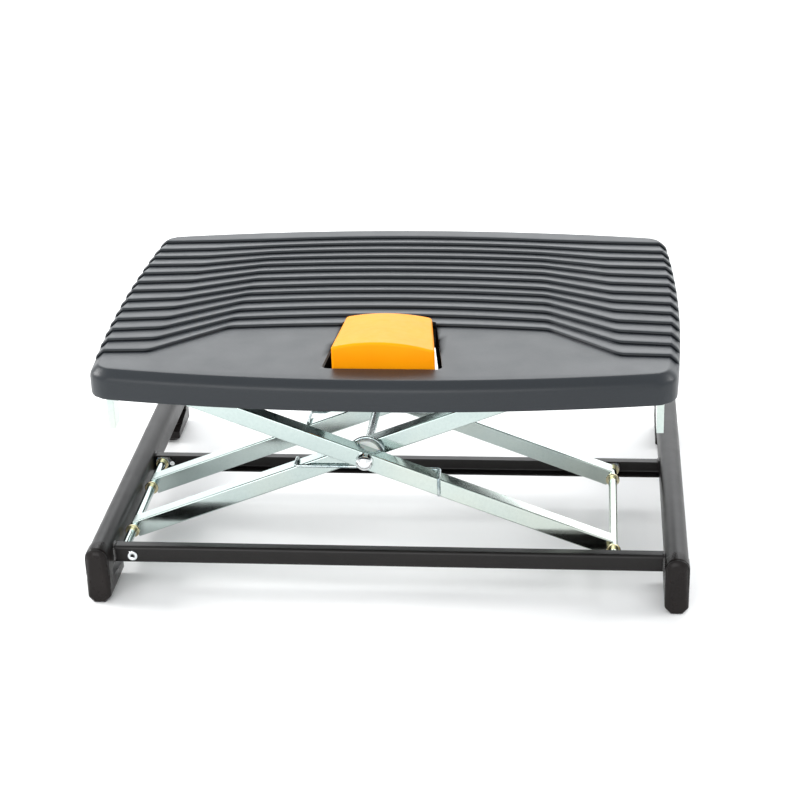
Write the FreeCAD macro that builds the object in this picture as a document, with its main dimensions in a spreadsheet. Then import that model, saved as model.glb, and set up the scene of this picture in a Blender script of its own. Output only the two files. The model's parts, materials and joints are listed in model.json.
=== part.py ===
import FreeCAD, Part
import os
import math
import Sketcher
from FreeCAD import Vector, Placement, Rotation

# Height-adjustable footrest: a tray on a scissor of zinc channels over a
# tubular base.  Millimetres, +Z up, +X along the long side, the user's side
# at -Y.  The origin lies on the floor under the centre of the bounding box.

doc = FreeCAD.newDocument("footrest")
sheet = doc.addObject("Spreadsheet::Sheet", "dims")
sheet.Label = "driving_dimensions"


class Q:
    """A driving dimension: its number and the expression that gives it."""

    def __init__(self, value, text):
        self.v = float(value)
        self.e = text

    @staticmethod
    def of(other):
        return other if isinstance(other, Q) else Q(other, repr(float(other)))

    def __add__(self, o):
        o = Q.of(o)
        return Q(self.v + o.v, "(%s + %s)" % (self.e, o.e))

    def __radd__(self, o):
        return Q.of(o) + self

    def __sub__(self, o):
        o = Q.of(o)
        return Q(self.v - o.v, "(%s - %s)" % (self.e, o.e))

    def __rsub__(self, o):
        return Q.of(o) - self

    def __mul__(self, o):
        o = Q.of(o)
        return Q(self.v * o.v, "(%s * %s)" % (self.e, o.e))

    def __rmul__(self, o):
        return Q.of(o) * self

    def __truediv__(self, o):
        o = Q.of(o)
        return Q(self.v / o.v, "(%s / %s)" % (self.e, o.e))

    def __neg__(self):
        return Q(-self.v, "(0 - %s)" % self.e)


def qcos(a):
    return Q(math.cos(math.radians(a.v)), "cos(%s)" % a.e)


def qsin(a):
    return Q(math.sin(math.radians(a.v)), "sin(%s)" % a.e)


class Dims:
    row = 1

    def cell(self, alias, value):
        sheet.set("A%d" % Dims.row, alias)
        sheet.set("B%d" % Dims.row, str(value))
        sheet.setAlias("B%d" % Dims.row, alias)
        Dims.row += 1
        setattr(self, alias, Q(value, "dims." + alias))


D = Dims()
for alias, value in (
    # base: flat-oval side tubes joined by two folded rails
    ("track_half", 250.0), ("tube_width", 20.0), ("tube_height", 33.0),
    ("tube_wall", 1.5), ("tube_axis_z", 34.0), ("tube_front_y", -176.0),
    ("tube_length", 369.0),
    ("rail_height", 16.0), ("rail_depth", 10.0), ("rail_wall", 1.5),
    ("rail_reach", 240.0), ("front_rail_y", -154.0), ("rear_rail_y", 35.5),
    # moulded end boots
    ("boot_length", 55.0), ("boot_width", 21.0), ("boot_height", 51.4),
    ("boot_cap", 17.0), ("boot_wall", 3.0), ("boot_foot", 11.0),
    ("boot_chamfer", 5.2), ("boot_front_y", -179.0), ("boot_rear_y", 196.0),
    ("boot_edge", 2.5),
    # stop screws through the rails
    ("stop_x", -223.0), ("stop_head_radius", 4.6), ("stop_head", 2.5),
    ("stop_stem_radius", 3.0), ("stop_stem", 7.6),
    # scissor
    ("half_arm", 230.0), ("rest_angle", 21.1266), ("pivot_x", -232.5),
    ("rod_radius", 4.0), ("rod_front_y", -152.2), ("rod_length", 185.9),
    ("arm_height", 15.5), ("arm_depth", 14.0), ("arm_wall", 1.5),
    ("arm_back", 3.4), ("arm_edge", 1.3),
    ("arm_a_front_y", -130.3), ("arm_b_front_y", -109.8),
    ("arm_b_rear_y", -25.7), ("arm_a_rear_y", 4.4),
    ("bush_radius", 6.2), ("bush_length", 7.9), ("bush_bore", 4.03),
    ("washer_radius", 6.0), ("washer_thick", 1.2),
    ("axle_radius", 4.0), ("axle_front_y", -135.5), ("axle_length", 158.5),
    ("collar_radius", 6.0), ("running_gap", 0.05),
    ("cap_radius", 8.0), ("cap_height", 7.4), ("cap_rim", 1.2),
    ("spring_mean", 14.5), ("spring_wire", 1.45), ("spring_pitch", 3.2),
    ("disc_radius", 12.25), ("disc_thick", 6.1), ("neck_radius", 6.0),
    # tray
    ("deck_half_width", 250.0), ("deck_front_y", -196.0),
    ("deck_rear_y", 165.0), ("deck_bow", 21.3), ("deck_side_bow", 6.9),
    ("deck_top_z", 219.8), ("deck_thick", 25.7), ("deck_wall", 3.2),
    ("deck_corner", 22.0), ("deck_round", 10.0),
    ("rib_wall", 2.4), ("rib_bottom_z", 209.6),
    ("notch_front_y", -165.0), ("notch_rear_y", -61.5),
    ("notch_left_front", -46.5), ("notch_right_front", 54.2),
    ("notch_left_rear", -42.0), ("notch_right_rear", 43.6),
    # upper frame
    ("upper_axis_z", 199.8), ("angle_inner_x", 239.0), ("angle_wall", 2.0),
    ("angle_front_y", -154.0), ("angle_length", 270.0), ("angle_leg", 17.0),
    ("guide_inner_x", 230.3), ("guide_outer_x", 236.3),
    ("guide_front_y", -141.2), ("guide_depth", 19.0), ("guide_tip_z", 146.9),
    # foot pedal and its lock
    ("pedal_front_y", -160.0), ("pedal_rear_y", -64.5), ("pedal_wall", 2.5),
    ("pedal_edge", 1.5),
    ("pin_y", -66.0), ("pin_z", 205.0), ("pin_radius", 2.5),
    ("tray_left", -28.0), ("tray_right", 31.0), ("tray_wall", 1.5),
    ("tray_floor_z", 190.3),
    ("bar_radius", 4.0), ("bar_y", -52.0), ("bar_left_x", -20.0),
    ("eye_radius", 8.0), ("eye_width", 10.0),
    ("lever_x", 20.0), ("lever_thick", 3.0), ("lever_bore", 4.35),
    ("lever_tail_z", 210.2), ("trunnion_radius", 1.5),
):
    D.cell(alias, value)
doc.recompute()

centre_x = D.pivot_x + D.half_arm * qcos(D.rest_angle)
centre_z = D.tube_axis_z + D.half_arm * qsin(D.rest_angle)
slide_x = D.pivot_x + 2 * D.half_arm * qcos(D.rest_angle)

nodes = []


# ---------------------------------------------------------------- helpers
def bind(obj, prop, q):
    q = Q.of(q)
    obj.setExpression(prop, q.e)


def place(obj, x, y, z, axis=None, angle=0.0):
    x, y, z = Q.of(x), Q.of(y), Q.of(z)
    rot = Rotation()
    if axis is not None:
        rot = Rotation(Vector(*axis), Q.of(angle).v)
    obj.Placement = Placement(Vector(x.v, y.v, z.v), rot)
    for prop, q in (("x", x), ("y", y), ("z", z)):
        bind(obj, "Placement.Base." + prop, q)
    if axis is not None and isinstance(angle, Q):
        bind(obj, "Placement.Rotation.Angle", angle)


def node(obj, label):
    obj.Label = label
    nodes.append(obj)
    return obj


def body(label):
    b = doc.addObject("PartDesign::Body", label)
    return node(b, label)


def sketch(b, name, role, offset=0.0):
    sk = b.newObject("Sketcher::SketchObject", b.Name + "_" + name)
    plane = [o for o in b.Origin.OriginFeatures if o.Role == role][0]
    sk.AttachmentSupport = [(plane, "")]
    sk.MapMode = "FlatFace"
    offset = Q.of(offset)
    sk.AttachmentOffset = Placement(Vector(0, 0, offset.v), Rotation())
    bind(sk, "AttachmentOffset.Base.z", offset)
    return sk


def pin_point(sk, geo, pos, x, y):
    for kind, q in (("DistanceX", Q.of(x)), ("DistanceY", Q.of(y))):
        i = sk.addConstraint(Sketcher.Constraint(kind, -1, 1, geo, pos, q.v))
        nm = "c%d" % i
        sk.renameConstraint(i, nm)
        bind(sk, "Constraints." + nm, q)


def outline(sk, points):
    """Closed outline, anticlockwise; a point is (x, y) for a straight run to
    the next one, or (x, y, sagitta, radius) for an outward arc to it."""
    pts = [(Q.of(p[0]), Q.of(p[1])) for p in points]
    n = len(pts)
    ids = []
    for i in range(n):
        a, c = pts[i], pts[(i + 1) % n]
        va, vc = Vector(a[0].v, a[1].v, 0), Vector(c[0].v, c[1].v, 0)
        if len(points[i]) == 2:
            ids.append(sk.addGeometry(Part.LineSegment(va, vc)))
            continue
        radius = points[i][3].v
        chord = vc - va
        left = Vector(-chord.y, chord.x, 0).normalize()
        mid = (va + vc) * 0.5
        centre = mid + left * math.sqrt(radius ** 2 - (chord.Length / 2) ** 2)
        a0 = math.atan2(va.y - centre.y, va.x - centre.x)
        a1 = math.atan2(vc.y - centre.y, vc.x - centre.x)
        if a1 < a0:
            a1 += 2 * math.pi
        ring = Part.Circle(centre, Vector(0, 0, 1), radius)
        ids.append(sk.addGeometry(Part.ArcOfCircle(ring, a0, a1)))
    for i in range(n):
        sk.addConstraint(Sketcher.Constraint(
            "Coincident", ids[i], 2, ids[(i + 1) % n], 1))
        pin_point(sk, ids[i], 1, pts[i][0], pts[i][1])
        if len(points[i]) > 2:
            k = sk.addConstraint(Sketcher.Constraint(
                "Radius", ids[i], points[i][3].v))
            sk.renameConstraint(k, "r%d" % k)
            bind(sk, "Constraints.r%d" % k, points[i][3])


def circle(sk, x, y, radius):
    x, y, radius = Q.of(x), Q.of(y), Q.of(radius)
    g = sk.addGeometry(Part.Circle(Vector(x.v, y.v, 0), Vector(0, 0, 1),
                                   radius.v))
    pin_point(sk, g, 3, x, y)
    k = sk.addConstraint(Sketcher.Constraint("Radius", g, radius.v))
    sk.renameConstraint(k, "r%d" % k)
    bind(sk, "Constraints.r%d" % k, radius)


def arc_radius(half_chord, sagitta):
    return (half_chord * half_chord + sagitta * sagitta) / (2 * sagitta)


def flat_oval(sk, width, height, zc):
    r = width / 2
    s = (height - width) / 2
    # the half circles are two quarter arcs each, so that every arc is minor
    points = [(r, zc - s), (r, zc + s, 1, r), (Q.of(0), zc + s + r, 1, r),
              (-r, zc + s), (-r, zc - s, 1, r), (Q.of(0), zc - s - r, 1, r)]
    outline(sk, points)


def pad(b, sk, length, name="pad", reverse=False):
    f = b.newObject("PartDesign::Pad", b.Name + "_" + name)
    f.Profile = sk
    f.Type = 0
    bind(f, "Length", length)
    f.Reversed = reverse
    sk.Visibility = False
    return f


def pocket(b, sk, length=None, name="pocket", reverse=False, both=False):
    f = b.newObject("PartDesign::Pocket", b.Name + "_" + name)
    f.Profile = sk
    if length is None:
        f.Type = 1
        f.Midplane = both
    else:
        f.Type = 0
        bind(f, "Length", length)
    f.Reversed = reverse
    return f


def edges_of(feature, test):
    doc.recompute()
    found = ["Edge%d" % (i + 1) for i, e in enumerate(feature.Shape.Edges)
             if test(e)]
    if not found:
        raise RuntimeError("no edge found for " + feature.Name)
    return found


def fillet(b, base, radius, test, name="fillet"):
    names = edges_of(base, test)
    f = b.newObject("PartDesign::Fillet", b.Name + "_" + name)
    f.Base = (base, names)
    bind(f, "Radius", radius)
    return f


def cylinder_y(name, x, y, z, radius, length):
    c = doc.addObject("Part::Cylinder", name)
    bind(c, "Radius", radius)
    bind(c, "Height", length)
    place(c, x, y, z, (1, 0, 0), -90.0)
    return c


def cylinder_x(name, x, y, z, radius, length):
    c = doc.addObject("Part::Cylinder", name)
    bind(c, "Radius", radius)
    bind(c, "Height", length)
    place(c, x, y, z, (0, 1, 0), 90.0)
    return c


def cylinder_z(name, x, y, z, radius, length):
    c = doc.addObject("Part::Cylinder", name)
    bind(c, "Radius", radius)
    bind(c, "Height", length)
    place(c, x, y, z)
    return c


def block(name, x0, x1, y0, y1, z0, z1):
    x0, x1, y0, y1, z0, z1 = [Q.of(q) for q in (x0, x1, y0, y1, z0, z1)]
    c = doc.addObject("Part::Box", name)
    bind(c, "Length", x1 - x0)
    bind(c, "Width", y1 - y0)
    bind(c, "Height", z1 - z0)
    place(c, x0, y0, z0)
    return c


def cut(name, a, b):
    f = doc.addObject("Part::Cut", name)
    f.Base, f.Tool = a, b
    return f


def fuse(name, items):
    f = doc.addObject("Part::MultiFuse", name)
    f.Shapes = items
    return f


def tube_y(name, x, y, z, outer, inner, length):
    o = cylinder_y(name + "_outer", x, y, z, outer, length)
    i = cylinder_y(name + "_bore", x, Q.of(y) - 1, z, inner,
                   Q.of(length) + 2)
    return cut(name, o, i)


def group(label, items):
    g = doc.addObject("Part::Compound", label)
    g.Links = items
    return node(g, label)


# ------------------------------------------------------------ base tubes
for side, sign in (("left", -1), ("right", 1)):
    b = body("base_tube_" + side)
    sk = sketch(b, "section", "XZ_Plane")
    flat_oval(sk, D.tube_width, D.tube_height, Q.of(0))
    flat_oval(sk, D.tube_width - 2 * D.tube_wall,
              D.tube_height - 2 * D.tube_wall, Q.of(0))
    pad(b, sk, D.tube_length, "length", reverse=True)
    place(b, sign * D.track_half, D.tube_front_y, D.tube_axis_z)


# ------------------------------------------------- folded channel rails
def rail(label, y, z, facing, reach):
    """Channel with its web at y and its flanges pointing along facing."""
    b = body(label)
    sk = sketch(b, "section", "YZ_Plane", -reach)
    h, d, w = D.rail_height / 2, D.rail_depth, D.rail_wall
    if facing > 0:
        pts = [(Q.of(0), -h), (d, -h), (d, w - h), (w, w - h), (w, h - w),
               (d, h - w), (d, h), (Q.of(0), h)]
    else:
        pts = [(Q.of(0), -h), (Q.of(0), h), (-d, h), (-d, h - w),
               (-w, h - w), (-w, w - h), (-d, w - h), (-d, -h)]
        pts.reverse()
    outline(sk, pts)
    p = pad(b, sk, 2 * reach, "length")
    doc.recompute()
    before = p.Shape.Volume
    hole = sketch(b, "stop_hole", "XZ_Plane")
    circle(hole, D.stop_x, Q.of(0), D.stop_stem_radius + 0.1)
    q = pocket(b, hole, None, "stop_hole", both=True)
    doc.recompute()
    lost = before - q.Shape.Volume
    want = math.pi * (D.stop_stem_radius.v + 0.1) ** 2 * D.rail_wall.v
    if abs(lost - want) > 0.5:
        raise RuntimeError("stop hole of %s: %.2f" % (label, lost))
    fillet(b, q, 0.9, lambda e: e.Length > 400 and abs(
        e.BoundBox.YMin) < 0.01 and abs(e.BoundBox.YMax) < 0.01, "fold")
    place(b, 0, y, z)
    return b


rail("front_rail", D.front_rail_y, D.tube_axis_z, 1, D.rail_reach)
rail("rear_rail", D.rear_rail_y, D.tube_axis_z, -1, D.rail_reach)
rail("upper_rail_front", D.front_rail_y, D.upper_axis_z, 1,
     D.angle_inner_x)
rail("upper_rail_rear", D.rear_rail_y, D.upper_axis_z, -1,
     D.angle_inner_x)


# ------------------------------------------------------------ end boots
# A cap closes the tube's end; below the tube a skid runs on to rest on the
# floor, with a tapering gap between it and the tube.
def boot(label, x, y, turn):
    b = body(label)
    wide, low = D.boot_width / 2, D.boot_foot / 2
    top = D.boot_height - wide
    sk = sketch(b, "outline", "XZ_Plane")
    side = wide - 0.3
    outline(sk, [(-low, Q.of(0)), (low, Q.of(0)), (side, D.boot_chamfer),
                 (wide, top, 1, wide), (Q.of(0), D.boot_height, 1, wide),
                 (-wide, top), (-side, D.boot_chamfer)])
    p = pad(b, sk, D.boot_length, "block", reverse=True)
    gap = sketch(b, "skid_gap", "YZ_Plane")
    c = D.boot_cap
    outline(gap, [(c, Q.of(18.2)), (c + 5, Q.of(17.4)),
                  (D.boot_length + 1, Q.of(11.5)),
                  (D.boot_length + 1, Q.of(60)), (c, Q.of(60))])
    g = pocket(b, gap, None, "skid_gap", both=True)
    toe = sketch(b, "heel_slope", "YZ_Plane")
    outline(toe, [(D.boot_length - 6, Q.of(-1)), (D.boot_length + 1, Q.of(-1)),
                  (D.boot_length + 1, Q.of(6)), (D.boot_length - 0.5, Q.of(4)),
                  (D.boot_length - 5, Q.of(0))])
    t = pocket(b, toe, None, "heel_slope", both=True)
    sock = sketch(b, "socket", "XZ_Plane", -(D.boot_wall))
    flat_oval(sock, D.tube_width + 0.2, D.tube_height + 0.2, D.tube_axis_z)
    s = pocket(b, sock, D.boot_length, "socket", reverse=False)
    doc.recompute()
    if s.Shape.Volume > t.Shape.Volume - 3000:
        s.Reversed = True
        doc.recompute()
    fillet(b, s, D.boot_edge, lambda e: e.BoundBox.YMax < 0.01
           and e.BoundBox.ZMax > 0.5, "front_edge")
    place(b, x, y, 0, (0, 0, 1), turn)
    return b


boot("boot_front_left", -D.track_half, D.boot_front_y, 0.0)
boot("boot_front_right", D.track_half, D.boot_front_y, 0.0)
boot("boot_rear_left", -D.track_half, D.boot_rear_y, 180.0)
boot("boot_rear_right", D.track_half, D.boot_rear_y, 180.0)


# ---------------------------------------------------------- stop screws
def stop_screw(name, z, front):
    if front:
        head = cylinder_y(name + "_head", D.stop_x,
                          D.front_rail_y - D.stop_head, z,
                          D.stop_head_radius, D.stop_head)
        stem = cylinder_y(name + "_stem", D.stop_x, D.front_rail_y - 1, z,
                          D.stop_stem_radius, D.stop_stem + 1)
    else:
        head = cylinder_y(name + "_head", D.stop_x, D.rear_rail_y, z,
                          D.stop_head_radius, D.stop_head)
        stem = cylinder_y(name + "_stem", D.stop_x,
                          D.rear_rail_y - D.stop_stem, z,
                          D.stop_stem_radius, D.stop_stem + 1)
    return fuse(name, [head, stem])


group("base_stop_screws", [
    stop_screw("base_stop_front", D.tube_axis_z, True),
    stop_screw("base_stop_rear", D.tube_axis_z, False)])
group("upper_stop_screws", [
    stop_screw("upper_stop_front", D.upper_axis_z, True),
    stop_screw("upper_stop_rear", D.upper_axis_z, False)])


# ------------------------------------------------------------ scissor arms
def arm(label, y, tilt, bore):
    b = body(label)
    end = D.half_arm - D.arm_back
    h, d, w = D.arm_height / 2, D.arm_depth, D.arm_wall
    sk = sketch(b, "section", "YZ_Plane", -end)
    outline(sk, [(Q.of(0), -h), (d, -h), (d, w - h), (w, w - h), (w, h - w),
                 (d, h - w), (d, h), (Q.of(0), h)])
    p = pad(b, sk, 2 * end, "length")
    f = fillet(b, p, D.arm_edge, lambda e: e.Length > 400 and abs(
        e.BoundBox.YMin) < 0.01 and abs(e.BoundBox.YMax) < 0.01, "fold")
    for nm, off in (("left_end", -end), ("right_end", end - w)):
        es = sketch(b, nm, "YZ_Plane", off)
        outline(es, [(w / 2, -(h - w / 2)), (d, -(h - w / 2)),
                     (d, h - w / 2), (w / 2, h - w / 2)])
        f = pad(b, es, w, nm)
    holes = sketch(b, "holes", "XZ_Plane")
    circle(holes, -D.half_arm, Q.of(0), D.rod_radius + 0.05)
    circle(holes, D.half_arm, Q.of(0), D.rod_radius + 0.05)
    circle(holes, Q.of(0), Q.of(0), bore)
    pocket(b, holes, None, "holes", both=True)
    place(b, centre_x, y, centre_z, (0, -1, 0), tilt)
    return b


loose = D.axle_radius + D.running_gap
tight = D.axle_radius + 0.02
arm("arm_b_front", D.arm_b_front_y, D.rest_angle, tight)
arm("arm_b_rear", D.arm_b_rear_y, D.rest_angle, tight)
arm("arm_a_front", D.arm_a_front_y, -D.rest_angle, loose)
arm("arm_a_rear", D.arm_a_rear_y, -D.rest_angle, loose)

for label, x, z in (("lower_pivot_rod", D.pivot_x, D.tube_axis_z),
                    ("lower_slide_rod", slide_x, D.tube_axis_z),
                    ("upper_pivot_rod", D.pivot_x, D.upper_axis_z),
                    ("upper_slide_rod", slide_x, D.upper_axis_z)):
    node(cylinder_y(label, x, D.rod_front_y, z, D.rod_radius,
                    D.rod_length), label)

for label, x, z in (("lower_pivot_bushes", D.pivot_x, D.tube_axis_z),
                    ("lower_slide_rollers", slide_x, D.tube_axis_z),
                    ("upper_pivot_bushes", D.pivot_x, D.upper_axis_z),
                    ("upper_slide_rollers", slide_x, D.upper_axis_z)):
    group(label, [
        tube_y(label + "_front", x, D.rod_front_y, z, D.bush_radius,
               D.bush_bore, D.bush_length),
        tube_y(label + "_rear", x, D.rod_front_y + D.rod_length
               - D.bush_length, z, D.bush_radius, D.bush_bore,
               D.bush_length)])


def washers(label, places):
    items = []
    for i, (x, z) in enumerate(places):
        for end, y in (("front", D.front_rail_y + D.rail_depth + 0.3),
                       ("rear", D.rear_rail_y - D.rail_depth - 0.3
                        - D.washer_thick)):
            items.append(tube_y("%s_%d_%s" % (label, i, end), x, y, z,
                                D.washer_radius, D.bush_bore,
                                D.washer_thick))
    group(label, items)


washers("rod_washers_a", [(slide_x, D.tube_axis_z),
                          (D.pivot_x, D.upper_axis_z)])
washers("rod_washers_b", [(D.pivot_x, D.tube_axis_z),
                          (slide_x, D.upper_axis_z)])

# centre axle with the collar that holds the rear arm off the end cap
axle = cylinder_y("axle_shaft", centre_x, D.axle_front_y, centre_z,
                  D.axle_radius, D.axle_length)
collar = cylinder_y("axle_collar", centre_x, D.arm_a_rear_y + D.arm_wall
                    + 0.2, centre_z, D.collar_radius,
                    D.arm_depth - D.arm_wall + 0.2)
node(fuse("centre_axle", [axle, collar]), "centre_axle")


def dome_cap(label, y, turn):
    b = body(label)
    sk = sketch(b, "profile", "XY_Plane")
    r, hgt, rim = D.cap_radius, D.cap_height, D.cap_rim
    rad = arc_radius(r, hgt - rim)
    outline(sk, [(tight, Q.of(0)), (tight, -(hgt - 1.8)),
                 (Q.of(0), -(hgt - 1.8)), (Q.of(0), -hgt, 1, rad),
                 (r, -rim), (r, Q.of(0))])
    f = b.newObject("PartDesign::Revolution", b.Name + "_turn")
    f.Profile = sk
    f.ReferenceAxis = (sk, ["V_Axis"])
    f.Angle = 360.0
    place(b, centre_x, y, centre_z, (0, 0, 1), turn)
    return b


dome_cap("dome_cap_front", D.arm_a_front_y - 0.1, 0.0)
dome_cap("dome_cap_rear", D.arm_a_rear_y + D.arm_depth + 0.5, 180.0)


# ------------------------------------------ bushes inside the two coils
def spring_bush(label, y_disc, y_neck, neck_length):
    d = cylinder_y(label + "_disc", centre_x, y_disc, centre_z,
                   D.disc_radius, D.disc_thick)
    n = cylinder_y(label + "_neck", centre_x, y_neck, centre_z,
                   D.neck_radius, neck_length)
    bore = cylinder_y(label + "_bore", centre_x, Q.of(-160), centre_z,
                      loose, Q.of(200))
    node(cut(label, fuse(label + "_blank", [d, n]), bore), label)


flange_end = D.arm_a_front_y + D.arm_depth
spring_bush("spring_bush_front", flange_end + 0.2,
            D.arm_a_front_y + D.arm_wall + 0.15,
            D.arm_depth - D.arm_wall + 1)
spring_bush("spring_bush_rear", D.arm_a_rear_y - 0.2 - D.disc_thick,
            D.arm_b_rear_y + D.arm_wall + 0.2, Q.of(27.0))


# ------------------------------------------------------ torsion springs
# One close turn of wire round the bush; each leg leaves the bottom of the
# coil along the floor line and hooks over the top flange of its arm.
def rod_between(p, q, radius):
    d = q - p
    return Part.makeCylinder(radius, d.Length, p, d)


def torsion_spring(label, y_right, y_left, right_path, left_path):
    mean, wire = D.spring_mean.v, D.spring_wire.v
    pitch = y_left - y_right
    helix = Part.makeHelix(abs(pitch), abs(pitch), mean)
    # the helix starts at (mean, 0, 0); its axis is turned onto +Y, mirrored
    # onto -Y for the rear spring, so that the turn starts and ends at the
    # bottom of the coil in line with the legs
    path = Part.Wire(helix.Edges)
    prof = Part.Wire([Part.makeCircle(wire, Vector(mean, 0, 0),
                                      path.Edges[0].tangentAt(
                                          path.Edges[0].FirstParameter))])
    coil = path.makePipeShell([prof], True, True)
    coil.Placement = Placement(FreeCAD.Matrix(
        0, -1, 0, 0, 0, 0, 1, 0, -1, 0, 0, 0, 0, 0, 0, 1))
    if pitch < 0:
        coil = coil.mirror(Vector(0, 0, 0), Vector(0, 1, 0))
    coil.translate(Vector(centre_x.v, y_right, centre_z.v))
    solids = [coil]
    for pts in (right_path, left_path):
        runs = [rod_between(pts[i], pts[i + 1], wire)
                for i in range(len(pts) - 1)]
        runs += [Part.makeSphere(wire, p) for p in pts[1:-1]]
        solids.append(runs[0].multiFuse(runs[1:]).Solids[0])
    f = doc.addObject("Part::Feature", label)
    f.Shape = Part.makeCompound(solids)
    f.Placement = Placement()
    if len(f.Shape.Solids) != 3 or f.Shape.Volume < 1500:
        raise RuntimeError("%s: %d solids, %.0f" % (
            label, len(f.Shape.Solids), f.Shape.Volume))
    node(f, label)
    return f


def leg(side, y, y_over, drop):
    """Straight leg from the coil bottom, over the flange, then down."""
    cx, cz, mean = centre_x.v, centre_z.v, D.spring_mean.v
    z = cz - mean
    rise = (D.arm_height.v / 2) / math.cos(math.radians(D.rest_angle.v))
    run = (cz + rise - (z - D.spring_wire.v - 0.35)) / math.tan(
        math.radians(D.rest_angle.v))
    x = cx + side * run
    return [Vector(cx, y, z), Vector(x, y, z), Vector(x, y_over, z),
            Vector(x, y_over, z - drop)]


wire = D.spring_wire.v
yr = D.arm_a_front_y.v + D.arm_depth.v + wire + 0.2
yl = D.arm_b_front_y.v - wire - 0.2
torsion_spring("torsion_spring_front", yr, yl,
               leg(1, yr, D.arm_a_front_y.v - wire - 0.3, 17.0),
               leg(-1, yl, D.arm_b_front_y.v + D.arm_depth.v + wire + 0.3,
                   6.0))
yr = D.arm_a_rear_y.v - wire - 0.2
yl = yr - D.spring_pitch.v
torsion_spring("torsion_spring_rear", yr, yl,
               leg(1, yr, D.arm_a_rear_y.v + D.arm_depth.v + wire + 0.3,
                   6.0),
               leg(-1, yl, D.arm_b_rear_y.v - wire - 0.3, 17.0))


# ------------------------------------------------------------------- tray
b = body("deck")


def tray_outline(sk, inset):
    hw = D.deck_half_width - inset
    cw = D.deck_half_width - D.deck_side_bow - inset
    y0 = D.deck_front_y + D.deck_bow + inset
    y1 = D.deck_rear_y - D.deck_bow - inset
    ends = arc_radius(cw, D.deck_bow)
    sides = arc_radius((y1 - y0) / 2, D.deck_side_bow)
    outline(sk, [(-cw, y0, 1, ends), (cw, y0, 1, sides),
                 (cw, y1, 1, ends), (-cw, y1, 1, sides)])


sk = sketch(b, "outline", "XY_Plane")
tray_outline(sk, Q.of(0))
p = pad(b, sk, D.deck_thick, "block")


def upright(e):
    return (e.BoundBox.ZLength > 5 and e.BoundBox.XLength < 0.01
            and e.BoundBox.YLength < 0.01)


c = fillet(b, p, D.deck_corner, upright, "corners")
top = fillet(b, c, D.deck_round, lambda e: e.BoundBox.ZMin
             > D.deck_thick.v - 0.01, "shoulder")
# shelled from below to one wall thickness
doc.recompute()
under = ["Face%d" % (i + 1) for i, face in enumerate(top.Shape.Faces)
         if face.BoundBox.ZMax < 0.01]
shell = b.newObject("PartDesign::Thickness", "deck_shell")
shell.Base = (top, under)
shell.Reversed = True
shell.Mode = 0
shell.Join = 0
bind(shell, "Value", D.deck_wall)
doc.recompute()
if not 5e5 < shell.Shape.Volume < 8e5:
    raise RuntimeError("deck shell: %.0f" % shell.Shape.Volume)

# ribs under the top: long ones front to rear, cross ones over the rails and
# over the side angles' shelves, and four screw bosses
base_z = D.deck_top_z - D.deck_thick
rib = D.rib_wall / 2
roof = D.deck_thick - D.deck_wall + 0.5


def rib_pad(name, bottom_z, boxes):
    s = sketch(b, name, "XY_Plane", bottom_z - base_z)
    for (x0, x1, y0, y1) in boxes:
        outline(s, [(x0, y0), (x1, y0), (x1, y1), (x0, y1)])
    return pad(b, s, roof - (bottom_z - base_z), name)


rib_pad("long_ribs", D.rib_bottom_z, [
    (Q.of(x) - rib, Q.of(x) + rib, Q.of(-176.0 if abs(x) < 150 else -170.0),
     Q.of(144.0 if abs(x) < 150 else 138.0))
    for x in (-155, -68, 68, 155)])
rib_pad("cross_ribs", Q.of(207.95), [
    (Q.of(-224.0), Q.of(224.0), Q.of(y) - rib, Q.of(y) + rib)
    for y in (92,)])
rib_pad("rail_ribs", Q.of(207.95), [
    (Q.of(x0), Q.of(x1), Q.of(y) - rib, Q.of(y) + rib)
    for y in (-149, 30.5) for (x0, x1) in ((-215, -72), (72, 215))])
# lip round the pedal opening, kept above the rail and the lock lever
rib_pad("notch_lip", Q.of(212.6), [
    (D.notch_left_front - D.rib_wall, D.notch_right_front + D.rib_wall,
     D.notch_front_y - D.rib_wall, D.notch_rear_y + D.rib_wall)])
# deeper cheeks along both sides of it, stepped up over the front rail
for nm, bottom, pts in (
        ("cheek_left", 200.0, [(-47.8, -141.0), (-40.0, -141.0),
                               (-40.0, -72.0), (-44.8, -72.0)]),
        ("cheek_left_front", 209.4, [(-48.9, -166.0), (-40.0, -166.0),
                                     (-40.0, -140.0), (-47.8, -140.0)]),
        ("cheek_right", 200.0, [(40.0, -141.0), (54.1, -141.0),
                                (47.1, -72.0), (40.0, -72.0)]),
        ("cheek_right_front", 209.4, [(40.0, -166.0), (56.6, -166.0),
                                      (54.1, -140.0), (40.0, -140.0)])):
    s = sketch(b, nm, "XY_Plane", Q.of(bottom) - base_z)
    outline(s, [(Q.of(x), Q.of(y)) for (x, y) in pts])
    pad(b, s, roof - (Q.of(bottom) - base_z), nm)
boss = sketch(b, "bosses", "XY_Plane", Q.of(207.95) - base_z)
screw_places = [(x, y) for x in (-110.0, 110.0) for y in (-149.0, 30.5)]
for (x, y) in screw_places:
    circle(boss, Q.of(x), Q.of(y), Q.of(5.0))
pad(b, boss, roof - (Q.of(207.95) - base_z), "bosses")
bore = sketch(b, "boss_bores", "XY_Plane", Q.of(207.0) - base_z)
for (x, y) in screw_places:
    circle(bore, Q.of(x), Q.of(y), Q.of(2.05))
f = pocket(b, bore, Q.of(8.0), "boss_bores", reverse=True)
doc.recompute()
prev = f.BaseFeature.Shape.Volume
if prev - f.Shape.Volume < 100:
    f.Reversed = False
    doc.recompute()
notch = sketch(b, "notch", "XY_Plane")
outline(notch, [(D.notch_left_front, D.notch_front_y),
                (D.notch_right_front, D.notch_front_y),
                (D.notch_right_rear, D.notch_rear_y),
                (D.notch_left_rear, D.notch_rear_y)])
nf = pocket(b, notch, None, "notch", both=True)


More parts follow.
